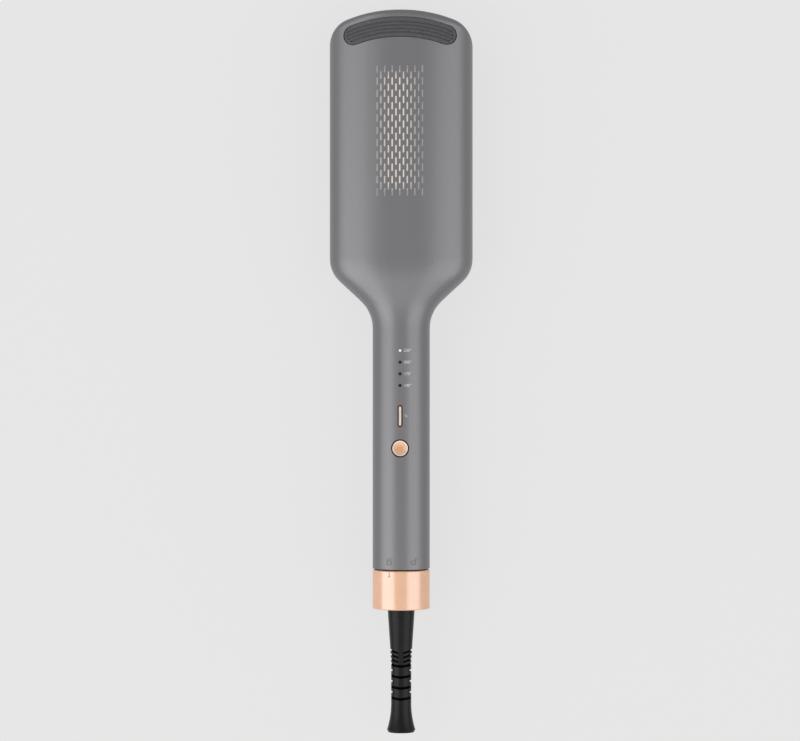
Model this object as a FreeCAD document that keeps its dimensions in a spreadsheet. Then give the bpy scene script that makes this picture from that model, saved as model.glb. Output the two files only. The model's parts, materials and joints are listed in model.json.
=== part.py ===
import FreeCAD, Part
import math
import os
import Sketcher

Vector = FreeCAD.Vector
Y_AXIS = Vector(0, 1, 0)

# A wide-plate hair straightener, lying closed on its base arm. +Y runs to the tip, +Z is up.
# A "rise" is a height above the plane between the two closed arms, outwards into an arm.
# A "setback" of a control is its distance from the seam where the handle meets the lock ring.

# Driving dimensions, in millimetres and degrees.
DIMENSIONS = {
    # Outer form of an arm
    "paddle_width": 70.0,
    "tool_thickness": 38.0,
    "land_width": 10.0,
    "crown_turn": 28.0,
    "straight_length": 103.4,
    "tip_crown_radius": 80.0,
    "tip_corner_radius": 13.2,
    "tip_edge_radius": 3.0,
    "shoulder_radius": 15.0,
    "waist_radius": 18.0,
    "flank_angle": 47.0,
    "handle_diameter": 28.0,
    "handle_length": 117.65,
    "handle_land": 1.0,
    "shell_wall": 2.0,
    "parting_gap": 2.4,
    # Inner covers
    "cover_thickness": 2.0,
    "cover_fit": 0.15,
    # Heating plates
    "plate_gap": 0.3,
    "plate_side_margin": 8.0,
    "plate_tip_margin": 13.3,
    "plate_neck_margin": 3.0,
    "plate_corner_radius": 4.0,
    "plate_edge_radius": 0.8,
    "window_gap": 0.4,
    "flange_thickness": 2.5,
    "flange_lip": 2.0,
    "stop_gap": 0.2,
    "plate_float": 0.8,
    # Heater, clamp, sensor, float pads and leads behind each plate
    "heater_width": 18.0,
    "heater_thickness": 2.4,
    "heater_end_margin": 10.0,
    "clamp_sheet": 0.8,
    "clamp_foot": 5.0,
    "clamp_fit": 0.1,
    "sensor_diameter": 2.4,
    "sensor_length": 7.0,
    "pad_diameter": 6.0,
    "pad_length": 4.0,
    "pad_inset": 7.0,
    "pad_end_inset": 12.0,
    "post_diameter": 7.0,
    "seat_gap": 0.1,
    "lead_diameter": 1.6,
    "lead_spacing": 8.0,
    "lead_end_gap": 0.4,
    "lead_lap": 6.0,
    # Vent slots and the screen behind them
    "vent_slot_length": 3.8,
    "vent_slot_width": 0.75,
    "vent_column_pitch": 1.83,
    "vent_row_pitch": 5.96,
    "vent_columns": 13,
    "vent_rows": 11,
    "vent_tip_setback": 58.7,
    "vent_wall": 1.0,
    "screen_thickness": 0.6,
    "screen_margin": 1.4,
    "screen_fit": 0.05,
    "screen_side_gap": 0.3,
    # Ribbed grip at the tip
    "grip_tip_margin": 3.7,
    "grip_width": 9.9,
    "grip_span": 55.1,
    "grip_depth": 1.2,
    "grip_recess": 0.1,
    "grip_fit": 0.45,
    "grip_border": 1.6,
    "groove_count": 4,
    "groove_width": 0.8,
    "groove_depth": 0.4,
    # Buttons, indicator lenses and board
    "power_setback": 59.15,
    "power_diameter": 7.5,
    "power_gap": 0.65,
    "power_dish": 0.3,
    "power_sink": 0.2,
    "power_travel": 0.6,
    "mode_setback": 74.85,
    "mode_length": 9.4,
    "mode_width": 1.15,
    "mode_gap": 0.65,
    "mode_proud": 0.1,
    "mode_travel": 0.5,
    "button_lip": 0.9,
    "button_lip_thickness": 1.0,
    "button_stop_gap": 0.5,
    "stem_diameter": 2.4,
    "lens_setback": 106.65,
    "lens_pitch": 5.66,
    "lens_count": 4,
    "lens_diameter": 1.45,
    "lens_fit": 0.05,
    "lens_proud": 0.1,
    "board_standoff": 1.0,
    "board_thickness": 1.6,
    "board_side_gap": 0.4,
    "board_rear_margin": 9.0,
    "board_front_margin": 20.0,
    "switch_size": 5.0,
    "switch_height": 1.5,
    "actuator_height": 0.5,
    "diode_size": 1.6,
    "diode_height": 0.8,
    "capacitor_diameter": 5.0,
    "capacitor_length": 9.0,
    "triac_length": 9.0,
    "triac_width": 6.0,
    "triac_thickness": 2.4,
    "triac_offset": 1.6,
    "part_spacing": 3.5,
    # Cover screws and their bosses
    "screw_diameter": 2.2,
    "screw_head_diameter": 4.0,
    "screw_head_depth": 1.0,
    "screw_length": 7.0,
    "screw_fit": 0.05,
    "boss_diameter": 4.8,
    "boss_gap": 0.6,
    "end_screw_spread": 28.0,
    "handle_screw_setback": 43.0,
    # Hinge between the arms
    "hinge_setback": 14.0,
    "opening_angle": 12.0,
    "wedge_margin": 1.0,
    "wedge_gap": 0.4,
    "knuckle_diameter": 8.0,
    "knuckle_width": 12.4,
    "knuckle_web": 8.0,
    "ear_width": 3.0,
    "ear_gap": 0.3,
    "ear_diameter": 8.4,
    "pin_diameter": 3.0,
    "pin_fit": 0.05,
    "hinge_room": 0.5,
    # Tail core, tail cover and tail cap
    "bulkhead_thickness": 6.0,
    "wire_bore": 9.0,
    "core_fit": 0.15,
    "core_rail": 12.0,
    "rail_thickness": 3.0,
    "tail_cover_fit": 0.1,
    "cap_thickness": 2.8,
    "cap_gap": 0.15,
    "cap_side_gap": 0.4,
    # Lock ring, cam and tongue
    "ring_seam": 0.5,
    "seam_chamfer": 0.25,
    "ring_length": 19.05,
    "ring_wall": 1.2,
    "ring_chamfer": 0.4,
    "ring_mouth_gap": 0.4,
    "tongue_width": 6.0,
    "tongue_thickness": 1.0,
    "tongue_floor_gap": 0.8,
    "tongue_reach": 4.5,
    "tongue_root": 11.0,
    "tongue_play": 0.5,
    "lock_gap": 0.4,
    "lock_turn": 50.0,
    "finger_thickness": 1.4,
    "finger_width": 4.0,
    "finger_length": 7.0,
    "hub_setback": 9.0,
    "hub_length": 4.5,
    "running_fit": 0.05,
    "cam_fit": 0.05,
    # Swivelling strain relief
    "relief_length": 60.5,
    "relief_head_diameter": 13.3,
    "relief_shoulder_diameter": 12.3,
    "relief_shoulder_run": 8.0,
    "relief_throat_diameter": 11.1,
    "relief_throat_run": 17.0,
    "relief_waist_diameter": 9.9,
    "relief_taper_length": 27.0,
    "relief_bell_diameter": 13.9,
    "relief_bell_length": 14.0,
    "relief_lip": 1.2,
    "cord_bore": 6.2,
    "swivel_flange_diameter": 11.6,
    "swivel_flange_thickness": 2.0,
    "swivel_neck_diameter": 9.0,
    "bend_slot_width": 1.3,
    "bend_slot_pitch": 5.35,
    "bend_slot_depth": 1.2,
    "bend_slot_start": 28.1,
    "bend_slot_angle": 7.0,
    "slot_floor_radius": 5.8,
    "side_slot_shift": 2.15,
    "side_slot_width": 1.1,
    "side_slot_depth": 0.75,
    "front_bend_slots": 4,
    "side_bend_slots": 3,
    "chevron_start": 21.55,
    "chevron_pitch": 2.18,
    "chevron_width": 1.0,
    "chevron_depth": 0.25,
    "chevron_angle": 18.0,
    "chevron_inset": 1.3,
    "chevron_count": 4,
    # Opening spring, a bowed steel strip between the arms
    "spring_strip": 0.5,
    "spring_width": 6.0,
    "spring_root": 14.0,
    "spring_length": 13.0,
    "spring_flat": 4.3,
}

# Places and sizes that follow from the driving dimensions.
DERIVED = {
    "mid_height": "Dims.tool_thickness / 2",
    "paddle_half": "Dims.paddle_width / 2",
    "handle_radius": "Dims.handle_diameter / 2",
    "handle_bore": "handle_radius - Dims.shell_wall",
    "rim_rise": "Dims.parting_gap / 2",
    "cover_top": "rim_rise + Dims.cover_thickness",
    # Stations along the tool
    "tip_corner_y": "Dims.straight_length / 2",
    "tip_corner_x": "paddle_half - Dims.tip_corner_radius",
    "tip_arc_reach": "Dims.tip_crown_radius - Dims.tip_corner_radius",
    "tip_crown_y": "tip_corner_y - sqrt(tip_arc_reach^2 - tip_corner_x^2)",
    "tip_y": "tip_crown_y + Dims.tip_crown_radius",
    "shoulder_y": "-Dims.straight_length / 2",
    "arc_radii": "Dims.shoulder_radius + Dims.waist_radius",
    "flank_drop": "paddle_half - handle_radius - arc_radii * (1 - cos(Dims.flank_angle))",
    "flank_run": "flank_drop / tan(Dims.flank_angle)",
    "waist_y": "shoulder_y - arc_radii * sin(Dims.flank_angle) - flank_run",
    "seam_y": "waist_y - Dims.handle_length",
    "hinge_y": "seam_y + Dims.hinge_setback",
    "ring_front_y": "seam_y - Dims.ring_seam",
    "ring_end_y": "ring_front_y - Dims.ring_length",
    "relief_end_y": "ring_end_y - Dims.relief_length",
    # Heating plates
    "plate_face": "Dims.plate_gap / 2",
    "plate_half": "paddle_half - Dims.plate_side_margin",
    "plate_front_y": "tip_y - Dims.plate_tip_margin",
    "plate_rear_y": "shoulder_y + Dims.plate_neck_margin",
    "flange_rise": "cover_top + Dims.stop_gap",
    "flange_top": "flange_rise + Dims.flange_thickness",
    "heater_top": "flange_top + Dims.heater_thickness",
    "heater_front_y": "plate_front_y - Dims.heater_end_margin",
    "heater_rear_y": "plate_rear_y + Dims.heater_end_margin",
    "clamp_top": "heater_top + Dims.clamp_fit + Dims.clamp_sheet",
    "lead_rise": "flange_top + Dims.plate_float + Dims.seat_gap + Dims.lead_diameter / 2",
    "pad_foot": "flange_top + Dims.seat_gap",
    "pad_top": "pad_foot + Dims.pad_length",
    "pad_x": "plate_half - Dims.pad_inset",
    "pad_front_y": "plate_front_y - Dims.pad_end_inset",
    "pad_rear_y": "plate_rear_y + Dims.pad_end_inset",
    # Vents
    "vent_y": "tip_y - Dims.vent_tip_setback",
    "vent_half_width": "(Dims.vent_columns - 1) * Dims.vent_column_pitch / 2",
    "vent_half_length": "(Dims.vent_rows - 1) * Dims.vent_row_pitch / 2 + Dims.vent_slot_length / 2",
    "screen_half_width": "vent_half_width + Dims.screen_margin",
    "screen_half_length": "vent_half_length + Dims.screen_margin",
    "screen_roof": "mid_height - Dims.vent_wall",
    # Controls
    "power_y": "seam_y + Dims.power_setback",
    "mode_y": "seam_y + Dims.mode_setback",
    "lens_y": "seam_y + Dims.lens_setback",
    "board_rise": "cover_top + Dims.board_standoff",
    "board_top": "board_rise + Dims.board_thickness",
    "board_half": "sqrt(handle_bore^2 - board_top^2) - Dims.board_side_gap",
    "board_rear_y": "power_y - Dims.board_rear_margin",
    "board_front_y": "lens_y + Dims.board_front_margin",
    "actuator_top": "board_top + Dims.switch_height + Dims.actuator_height",
    "power_lip_radius": "Dims.power_diameter / 2 + Dims.button_lip",
    "power_lip_top": "sqrt(handle_bore^2 - power_lip_radius^2) - Dims.button_stop_gap",
    "mode_lip_half": "Dims.mode_width / 2 + Dims.button_lip",
    "mode_lip_top": "sqrt(handle_bore^2 - mode_lip_half^2) - Dims.button_stop_gap",
    # Cover screws
    "boss_reach": "Dims.flange_lip + Dims.boss_diameter / 2 + Dims.boss_gap",
    "tip_screw_y": "plate_front_y + boss_reach",
    "neck_screw_y": "plate_rear_y - boss_reach",
    "handle_screw_y": "seam_y + Dims.handle_screw_setback",
    # Hinge
    "pin_radius": "Dims.pin_diameter / 2",
    "knuckle_half": "Dims.knuckle_width / 2",
    "ear_inner": "knuckle_half + Dims.ear_gap",
    "ear_outer": "ear_inner + Dims.ear_width",
    "wedge_angle": "Dims.opening_angle + Dims.wedge_margin",
    "tail_cover_front_y": "hinge_y - Dims.wedge_gap",
    "base_wall_y": "hinge_y + handle_radius * tan(wedge_angle) + Dims.shell_wall",
    "core_front_y": "hinge_y + Dims.core_rail",
    # Lock, ring and swivel, as radii about the tool's axis
    "tongue_rise": "handle_bore - Dims.tongue_floor_gap - Dims.tongue_thickness",
    "tongue_end_y": "seam_y - Dims.tongue_reach",
    "tongue_root_y": "hinge_y + Dims.tongue_root",
    "tongue_lift": "(Dims.hinge_setback + Dims.tongue_reach) * sin(Dims.opening_angle)",
    "slot_roof": "tongue_lift - tongue_rise * cos(Dims.opening_angle) + Dims.tongue_play",
    "finger_outer": "tongue_rise - Dims.lock_gap",
    "finger_inner": "finger_outer - Dims.finger_thickness",
    "spigot_radius": "finger_inner - Dims.lock_gap",
    "ring_bore": "handle_radius - Dims.ring_wall",
    "hub_front_y": "ring_front_y - Dims.hub_setback",
    "hub_end_y": "hub_front_y - Dims.hub_length",
    "spigot_end_y": "hub_end_y - Dims.cap_gap",
    "cap_end_y": "spigot_end_y - Dims.cap_thickness",
    "flange_end_y": "spigot_end_y + Dims.cap_gap",
    "flange_front_y": "flange_end_y + Dims.swivel_flange_thickness",
    "relief_head_y": "cap_end_y - Dims.cap_gap",
}

# Closeness of two equal heights, the least lean of an edge that counts as along an axis,
# how far a cutting form runs past what it cuts, and the steps of each arc down the neck.
CLOSE = 1e-6
LEAN = 0.05
OVERSHOOT = 1.0
NECK_STEPS = 5

document = FreeCAD.newDocument("HairStraightener")
sheet = document.addObject("Spreadsheet::Sheet", "Dims")
for row, (alias, size) in enumerate(DIMENSIONS.items(), start=1):
    sheet.set(f"A{row}", alias)
    sheet.set(f"B{row}", str(size))
    sheet.setAlias(f"B{row}", alias)
document.recompute()

layout = document.addObject("App::VarSet", "Layout")
for place, formula in DERIVED.items():
    layout.addProperty("App::PropertyFloat", place, "Derived")
    layout.setExpression(place, formula)
layout.addProperty("App::PropertyFloat", "reading", "Derived")
document.recompute()

sub_parts = []


def number(formula):
    """The value of a formula in Dims and Layout names."""
    layout.setExpression("reading", formula)
    layout.recompute()
    return layout.reading


def dim(alias):
    return float(sheet.get(alias))


def place_of(name):
    return layout.getPropertyByName(name)


def keep(part, label, arm="control", x="0", y="0", rise="0"):
    """Name a sub-part and set its place; the base arm's are turned half round about the tool's axis."""
    part.Label = label
    sign = ""
    if arm == "base":
        part.Placement = FreeCAD.Placement(Vector(), FreeCAD.Rotation(Y_AXIS, 180))
        sign = "-"
    part.setExpression("Placement.Base.x", f"{sign}({x})")
    part.setExpression("Placement.Base.y", y)
    part.setExpression("Placement.Base.z", f"Layout.mid_height + {sign}({rise})")
    sub_parts.append(part)
    return part


def keep_shape(shape, label, arm="control"):
    """A sub-part whose form no feature makes: its shape is set straight from the sheet's sizes."""
    part = document.addObject("Part::Feature", label)
    part.Shape = shape
    return keep(part, label, arm)


# Parametric primitives and booleans

def box(name, x, y, rise):
    """A box between pairs of formulas along X, Y and Z."""
    part = document.addObject("Part::Box", name)
    sides = (("Length", "x", x), ("Width", "y", y), ("Height", "z", rise))
    for side, axis, (low, high) in sides:
        part.setExpression(side, f"({high}) - ({low})")
        part.setExpression(f"Placement.Base.{axis}", low)
    return part


def rod(name, radius, axis, centre, span):
    """A round bar along an axis, between two formulas, with its centre given on the other two axes."""
    part = document.addObject("Part::Cylinder", name)
    low, high = span
    turns = {"x": (Y_AXIS, 90), "y": (Vector(1, 0, 0), -90), "z": (Y_AXIS, 0)}
    part.Placement = FreeCAD.Placement(Vector(), FreeCAD.Rotation(*turns[axis]))
    part.setExpression("Radius", radius)
    part.setExpression("Height", f"({high}) - ({low})")
    others = [other for other in "xyz" if other != axis]
    for other, formula in zip(others, centre):
        part.setExpression(f"Placement.Base.{other}", formula)
    part.setExpression(f"Placement.Base.{axis}", low)
    return part


def fuse(name, parts):
    part = document.addObject("Part::MultiFuse", name)
    part.Shapes = parts
    part.Refine = True
    return part


def cut(name, base, tools):
    part = document.addObject("Part::Cut", name)
    part.Base = base
    part.Tool = tools[0] if len(tools) == 1 else fuse(f"{name}_tools", tools)
    part.Refine = True
    return part


def group(name, parts):
    """Separate solids that share one sub-part."""
    part = document.addObject("Part::Compound", name)
    part.Links = parts
    return part


# Bodies made from sketches

def new_body(label):
    return document.addObject("PartDesign::Body", label)


def new_sketch(body, role, offset="0"):
    """A sketch on one of the body's own origin planes, moved along the plane's normal."""
    plane = [feature for feature in body.Origin.OriginFeatures if feature.Role == role][0]
    sketch = body.newObject("Sketcher::SketchObject", f"{body.Name}_sketch")
    sketch.AttachmentSupport = [(plane, "")]
    sketch.MapMode = "FlatFace"
    sketch.setExpression("AttachmentOffset.Base.z", offset)
    return sketch


def bind(sketch, constraint, formula):
    index = sketch.addConstraint(constraint)
    sketch.setExpression(f"Constraints[{index}]", formula)


def arc_between(start, end, radius, turn):
    """The short arc from start to end; turn is 1 with its centre on the left, -1 on the right."""
    chord = end - start
    left = Vector(-chord.y, chord.x, 0).normalize()
    reach = math.sqrt(radius ** 2 - (chord.Length / 2) ** 2)
    centre = (start + end) * 0.5 + left * (turn * reach)
    first, last = (start, end) if turn > 0 else (end, start)
    angles = [math.atan2(point.y - centre.y, point.x - centre.x) for point in (first, last)]
    return Part.ArcOfCircle(Part.Circle(centre, Vector(0, 0, 1), radius), *angles)


def profile(sketch, corners, arcs=None):
    """A closed outline through corners given as formulas; arcs maps a run to its radius and turn."""
    arcs = arcs or {}
    points = [Vector(number(u), number(v), 0) for u, v in corners]
    ends = []
    for index, start in enumerate(points):
        end = points[(index + 1) % len(points)]
        if index in arcs:
            radius, turn = arcs[index]
            run = sketch.addGeometry(arc_between(start, end, number(radius), turn), False)
            ends.append((run, 1, 2) if turn > 0 else (run, 2, 1))
        else:
            run = sketch.addGeometry(Part.LineSegment(start, end), False)
            ends.append((run, 1, 2))
    for index, (run, start, end) in enumerate(ends):
        after, after_start, after_end = ends[(index + 1) % len(ends)]
        sketch.addConstraint(Sketcher.Constraint("Coincident", run, end, after, after_start))
    for (run, start, end), (u, v), point in zip(ends, corners, points):
        bind(sketch, Sketcher.Constraint("DistanceX", -1, 1, run, start, point.x), u)
        bind(sketch, Sketcher.Constraint("DistanceY", -1, 1, run, start, point.y), v)
    for index, (radius, turn) in arcs.items():
        bind(sketch, Sketcher.Constraint("Radius", ends[index][0], number(radius)), radius)
    return sketch


def rectangle(sketch, u, v):
    return profile(sketch, [(u[0], v[0]), (u[1], v[0]), (u[1], v[1]), (u[0], v[1])])


def stadium(sketch, half_width, half_length):
    """A slot outline along the sketch's second axis, with round ends."""
    straight = f"({half_length}) - ({half_width})"
    left = f"-({half_width})"
    corners = [(half_width, f"-({straight})"), (half_width, straight), ("0", half_length)]
    corners += [(left, straight), (left, f"-({straight})"), ("0", f"-({half_length})")]
    return profile(sketch, corners, {run: (half_width, 1) for run in (1, 2, 4, 5)})


def pad(body, sketch, length):
    feature = body.newObject("PartDesign::Pad", f"{body.Name}_pad")
    feature.Profile = sketch
    feature.setExpression("Length", length)
    document.recompute()
    return feature


def revolve(body, sketch):
    """Turn a sketch once round its own vertical axis."""
    feature = body.newObject("PartDesign::Revolution", f"{body.Name}_turn")
    feature.Profile = sketch
    feature.ReferenceAxis = (sketch, ["V_Axis"])
    feature.Angle = 360
    document.recompute()
    return feature


def round_edges(body, base, radius, choose):
    """Fillet the edges of a feature that the choose function picks by their mid point and direction."""
    names = []
    for index, edge in enumerate(base.Shape.Edges, start=1):
        middle = (edge.FirstParameter + edge.LastParameter) / 2
        if choose(edge.valueAt(middle), edge.tangentAt(middle)):
            names.append(f"Edge{index}")
    feature = body.newObject("PartDesign::Fillet", f"{body.Name}_round")
    feature.Base = (base, names)
    feature.setExpression("Radius", radius)
    document.recompute()
    return feature


# The outer form of an arm: a flat land, a broad crown and a tighter side, in every cross-section

def mirrored(point):
    return Vector(-point.x, point.y, point.z)


def section(y, half_width, height, land, bottom):
    """Cross-section wire at a station; the two arcs on each side meet at the crown's turn."""
    turn = math.radians(dim("crown_turn"))
    sine = math.sin(turn)
    cosine = math.cos(turn)
    spread = half_width - land
    share = sine * cosine - (1 - sine) * (1 - cosine)
    crown = (spread * cosine - height * (1 - sine)) / share
    side = (sine * height - (1 - cosine) * spread) / share
    side_x = half_width - side
    start = math.asin(bottom / side)
    middle = (start + math.pi / 2 - turn) / 2
    low = Vector(side_x + side * math.cos(start), y, bottom)
    side_middle = Vector(side_x + side * math.cos(middle), y, side * math.sin(middle))
    joint = Vector(side_x + side * sine, y, side * cosine)
    crown_rise = height - crown + crown * math.cos(turn / 2)
    crown_middle = Vector(land + crown * math.sin(turn / 2), y, crown_rise)
    top = Vector(land, y, height)
    runs = [
        Part.LineSegment(mirrored(low), low),
        Part.Arc(low, side_middle, joint),
        Part.Arc(joint, crown_middle, top),
        Part.LineSegment(top, mirrored(top)),
        Part.Arc(mirrored(top), mirrored(crown_middle), mirrored(joint)),
        Part.Arc(mirrored(joint), mirrored(side_middle), mirrored(low)),
    ]
    return Part.Wire([run.toShape() for run in runs])


def paddle_section(y, inset, bottom):
    half_width = place_of("paddle_half") - inset
    return section(y, half_width, place_of("mid_height") - inset, dim("land_width") / 2, bottom)


def tip_outline(inset):
    """Plan outline of the paddle with its crowned tip, as a prism that trims the cross-section."""
    corner = dim("tip_corner_radius") - inset
    half_width = place_of("paddle_half") - inset
    corner_x = place_of("tip_corner_x")
    corner_y = place_of("tip_corner_y")
    crown_y = place_of("tip_crown_y")
    turn = math.atan2(corner_y - crown_y, corner_x)
    base_y = place_of("shoulder_y") - OVERSHOOT
    base = Vector(half_width, base_y, 0)
    side = Vector(half_width, corner_y, 0)
    middle = Vector(corner_x + corner * math.cos(turn / 2), corner_y + corner * math.sin(turn / 2), 0)
    joint = Vector(corner_x + corner * math.cos(turn), corner_y + corner * math.sin(turn), 0)
    tip = Vector(0, crown_y + dim("tip_crown_radius") - inset, 0)
    runs = [
        Part.LineSegment(base, side),
        Part.Arc(side, middle, joint),
        Part.Arc(joint, tip, mirrored(joint)),
        Part.Arc(mirrored(joint), mirrored(middle), mirrored(side)),
        Part.LineSegment(mirrored(side), mirrored(base)),
        Part.LineSegment(mirrored(base), base),
    ]
    outline = Part.Face(Part.Wire([run.toShape() for run in runs]))
    return outline.extrude(Vector(0, 0, place_of("mid_height") + OVERSHOOT))


def paddle_form(inset, bottom):
    start_y = place_of("shoulder_y")
    length = place_of("tip_y") - start_y + OVERSHOOT
    prism = Part.Face(paddle_section(start_y, inset, bottom)).extrude(Vector(0, length, 0))
    return prism.common(tip_outline(inset)).Solids[0]


def neck_stations():
    """Half-width, station and slope of the plan outline down the neck, shoulder to waist."""
    slope = math.radians(dim("flank_angle"))
    shoulder = dim("shoulder_radius")
    waist = dim("waist_radius")
    stations = []
    for step in range(NECK_STEPS + 1):
        angle = slope * step / NECK_STEPS
        half_width = place_of("paddle_half") - shoulder * (1 - math.cos(angle))
        stations.append((half_width, place_of("shoulder_y") - shoulder * math.sin(angle), angle))
    for step in range(NECK_STEPS + 1):
        angle = slope * (1 - step / NECK_STEPS)
        half_width = place_of("handle_radius") + waist * (1 - math.cos(angle))
        stations.append((half_width, place_of("waist_y") + waist * math.sin(angle), angle))
    return stations


def neck_form(inset, bottom):
    """Loft from the paddle to the handle; height and land shrink in step with the width."""
    handle = place_of("handle_radius")
    sections = []
    for half_width, y, angle in neck_stations():
        share = (half_width - handle) / (place_of("paddle_half") - handle)
        height = handle + (place_of("mid_height") - handle) * share - inset
        land = (dim("handle_land") + (dim("land_width") - dim("handle_land")) * share) / 2
        inner_y = y + inset * math.sin(angle)
        inner_half = half_width - inset * math.cos(angle)
        sections.append(section(inner_y, inner_half, height, land, bottom))
    return Part.makeLoft(sections, True, False)


def handle_form(inset, bottom, rear_y):
    radius = place_of("handle_radius") - inset
    start_y = place_of("waist_y")
    start = section(start_y, radius, radius, dim("handle_land") / 2, bottom)
    return Part.Face(start).extrude(Vector(0, rear_y - start_y, 0))


def arm_form(inset, bottom, rear_y, paddle=None):
    paddle = paddle or paddle_form(inset, bottom)
    pieces = [neck_form(inset, bottom), handle_form(inset, bottom, rear_y)]
    return paddle.fuse(pieces).removeSplitter().Solids[0]


def rounded_paddle():
    """The paddle's outer form, with its tip edge rounded."""
    rim = place_of("rim_rise")
    form = paddle_form(0, rim)
    edges = []
    for edge in form.Edges:
        middle = (edge.FirstParameter + edge.LastParameter) / 2
        point = edge.valueAt(middle)
        along = edge.tangentAt(middle)
        on_tip = point.y > place_of("tip_corner_y") and point.z > rim + CLOSE
        if on_tip and abs(along.x) > LEAN:
            edges.append(edge)
    return form.makeFillet(dim("tip_edge_radius"), edges)


# Plain solids for the cuts and bosses of the formed pieces

def solid_box(x, y, rise):
    size = [high - low for low, high in (x, y, rise)]
    return Part.makeBox(*size, Vector(x[0], y[0], rise[0]))


def solid_rod(radius, x, y, rise):
    return Part.makeCylinder(radius, rise[1] - rise[0], Vector(x, y, rise[0]))


def slot_prism(half_width, half_length, x, y, rise):
    """A round-ended slot along Y."""
    straight = half_length - half_width
    corners = [(1, -1), (1, 1), (-1, 1), (-1, -1)]
    points = [Vector(x + u * half_width, y + v * straight, rise[0]) for u, v in corners]
    top = Vector(x, y + half_length, rise[0])
    foot = Vector(x, y - half_length, rise[0])
    runs = [
        Part.LineSegment(points[0], points[1]),
        Part.Arc(points[1], top, points[2]),
        Part.LineSegment(points[2], points[3]),
        Part.Arc(points[3], foot, points[0]),
    ]
    outline = Part.Face(Part.Wire([run.toShape() for run in runs]))
    return outline.extrude(Vector(0, 0, rise[1] - rise[0]))


def screw_places():
    spread = dim("end_screw_spread") / 2
    tip_y = place_of("tip_screw_y")
    neck_y = place_of("neck_screw_y")
    ends = [(side * spread, y) for y in (tip_y, neck_y) for side in (-1, 1)]
    return ends + [(0, place_of("handle_screw_y"))]


def pad_places():
    rows = (place_of("pad_front_y"), place_of("pad_rear_y"))
    return [(side * place_of("pad_x"), y) for y in rows for side in (-1, 1)]


def vent_places():
    """Centres of the vent slots: every second column is shifted by half a row and has one slot less."""
    columns = int(dim("vent_columns"))
    rows = int(dim("vent_rows"))
    places = []
    for column in range(columns):
        x = column * dim("vent_column_pitch") - place_of("vent_half_width")
        count = rows - column % 2
        for row in range(count):
            places.append((x, place_of("vent_y") + (row - (count - 1) / 2) * dim("vent_row_pitch")))
    return places


def grip_outline(margin):
    """Crescent along the tip, parallel to its crown, with round ends; as a tall prism."""
    centre_y = place_of("tip_crown_y")
    half_width = dim("grip_width") / 2
    middle = dim("tip_crown_radius") - dim("grip_tip_margin") - half_width
    end_x = dim("grip_span") / 2 - half_width
    turn = math.asin(end_x / middle)
    half = half_width + margin

    def at(radius, angle):
        return Vector(radius * math.sin(angle), centre_y + radius * math.cos(angle), 0)

    cap = at(middle, turn) + Vector(math.cos(turn), -math.sin(turn), 0) * half
    runs = [
        Part.Arc(at(middle + half, -turn), at(middle + half, 0), at(middle + half, turn)),
        Part.Arc(at(middle + half, turn), cap, at(middle - half, turn)),
        Part.Arc(at(middle - half, turn), at(middle - half, 0), at(middle - half, -turn)),
        Part.Arc(at(middle - half, -turn), mirrored(cap), at(middle + half, -turn)),
    ]
    outline = Part.Face(Part.Wire([run.toShape() for run in runs]))
    return outline.extrude(Vector(0, 0, place_of("mid_height") + OVERSHOOT))


def grip_groove(index):
    """Ring that cuts one of the evenly spaced grooves along the grip, inside its plain border."""
    border = dim("grip_border")
    pitch = (dim("grip_width") - 2 * border) / dim("groove_count")
    middle = dim("tip_crown_radius") - dim("grip_tip_margin") - border - pitch * (index + 0.5)
    outer = middle + dim("groove_width") / 2
    centre = Vector(0, place_of("tip_crown_y"), 0)
    height = place_of("mid_height") + OVERSHOOT
    ring = Part.makeCylinder(outer, height, centre)
    return ring.cut(Part.makeCylinder(outer - dim("groove_width"), height, centre))


paddle_outer = rounded_paddle()
grip_floor = paddle_form(dim("grip_depth"), 0)


def chamfered_end(form, rear_y):
    """The form with the outer edge of its tail end broken."""
    rim = place_of("rim_rise")
    edges = []
    for edge in form.Edges:
        point = edge.valueAt((edge.FirstParameter + edge.LastParameter) / 2)
        if abs(point.y - rear_y) < CLOSE and point.z > rim + CLOSE:
            edges.append(edge)
    return form.makeChamfer(dim("seam_chamfer"), edges)


def bare_shell(rear_y, cavity_rear_y):
    """Hollow arm with its screw bosses, float posts and the recess for the grip."""
    outer = chamfered_end(arm_form(0, place_of("rim_rise"), rear_y, paddle_outer), rear_y)
    shell = outer.cut(arm_form(dim("shell_wall"), 0, cavity_rear_y))
    roof = (place_of("cover_top"), place_of("mid_height"))
    posts = [solid_rod(dim("boss_diameter") / 2, x, y, roof) for x, y in screw_places()]
    post_foot = place_of("pad_top") + dim("seat_gap")
    post_span = (post_foot, place_of("mid_height"))
    posts += [solid_rod(dim("post_diameter") / 2, x, y, post_span) for x, y in pad_places()]
    shell = shell.fuse([post.common(outer) for post in posts])
    screw_radius = dim("screw_diameter") / 2 + dim("screw_fit")
    screw_end = place_of("rim_rise") + dim("screw_length") + dim("seat_gap")
    cuts = [solid_rod(screw_radius, x, y, (0, screw_end)) for x, y in screw_places()]
    cuts.append(grip_outline(0).cut(grip_floor))
    return shell.cut(cuts)


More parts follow.
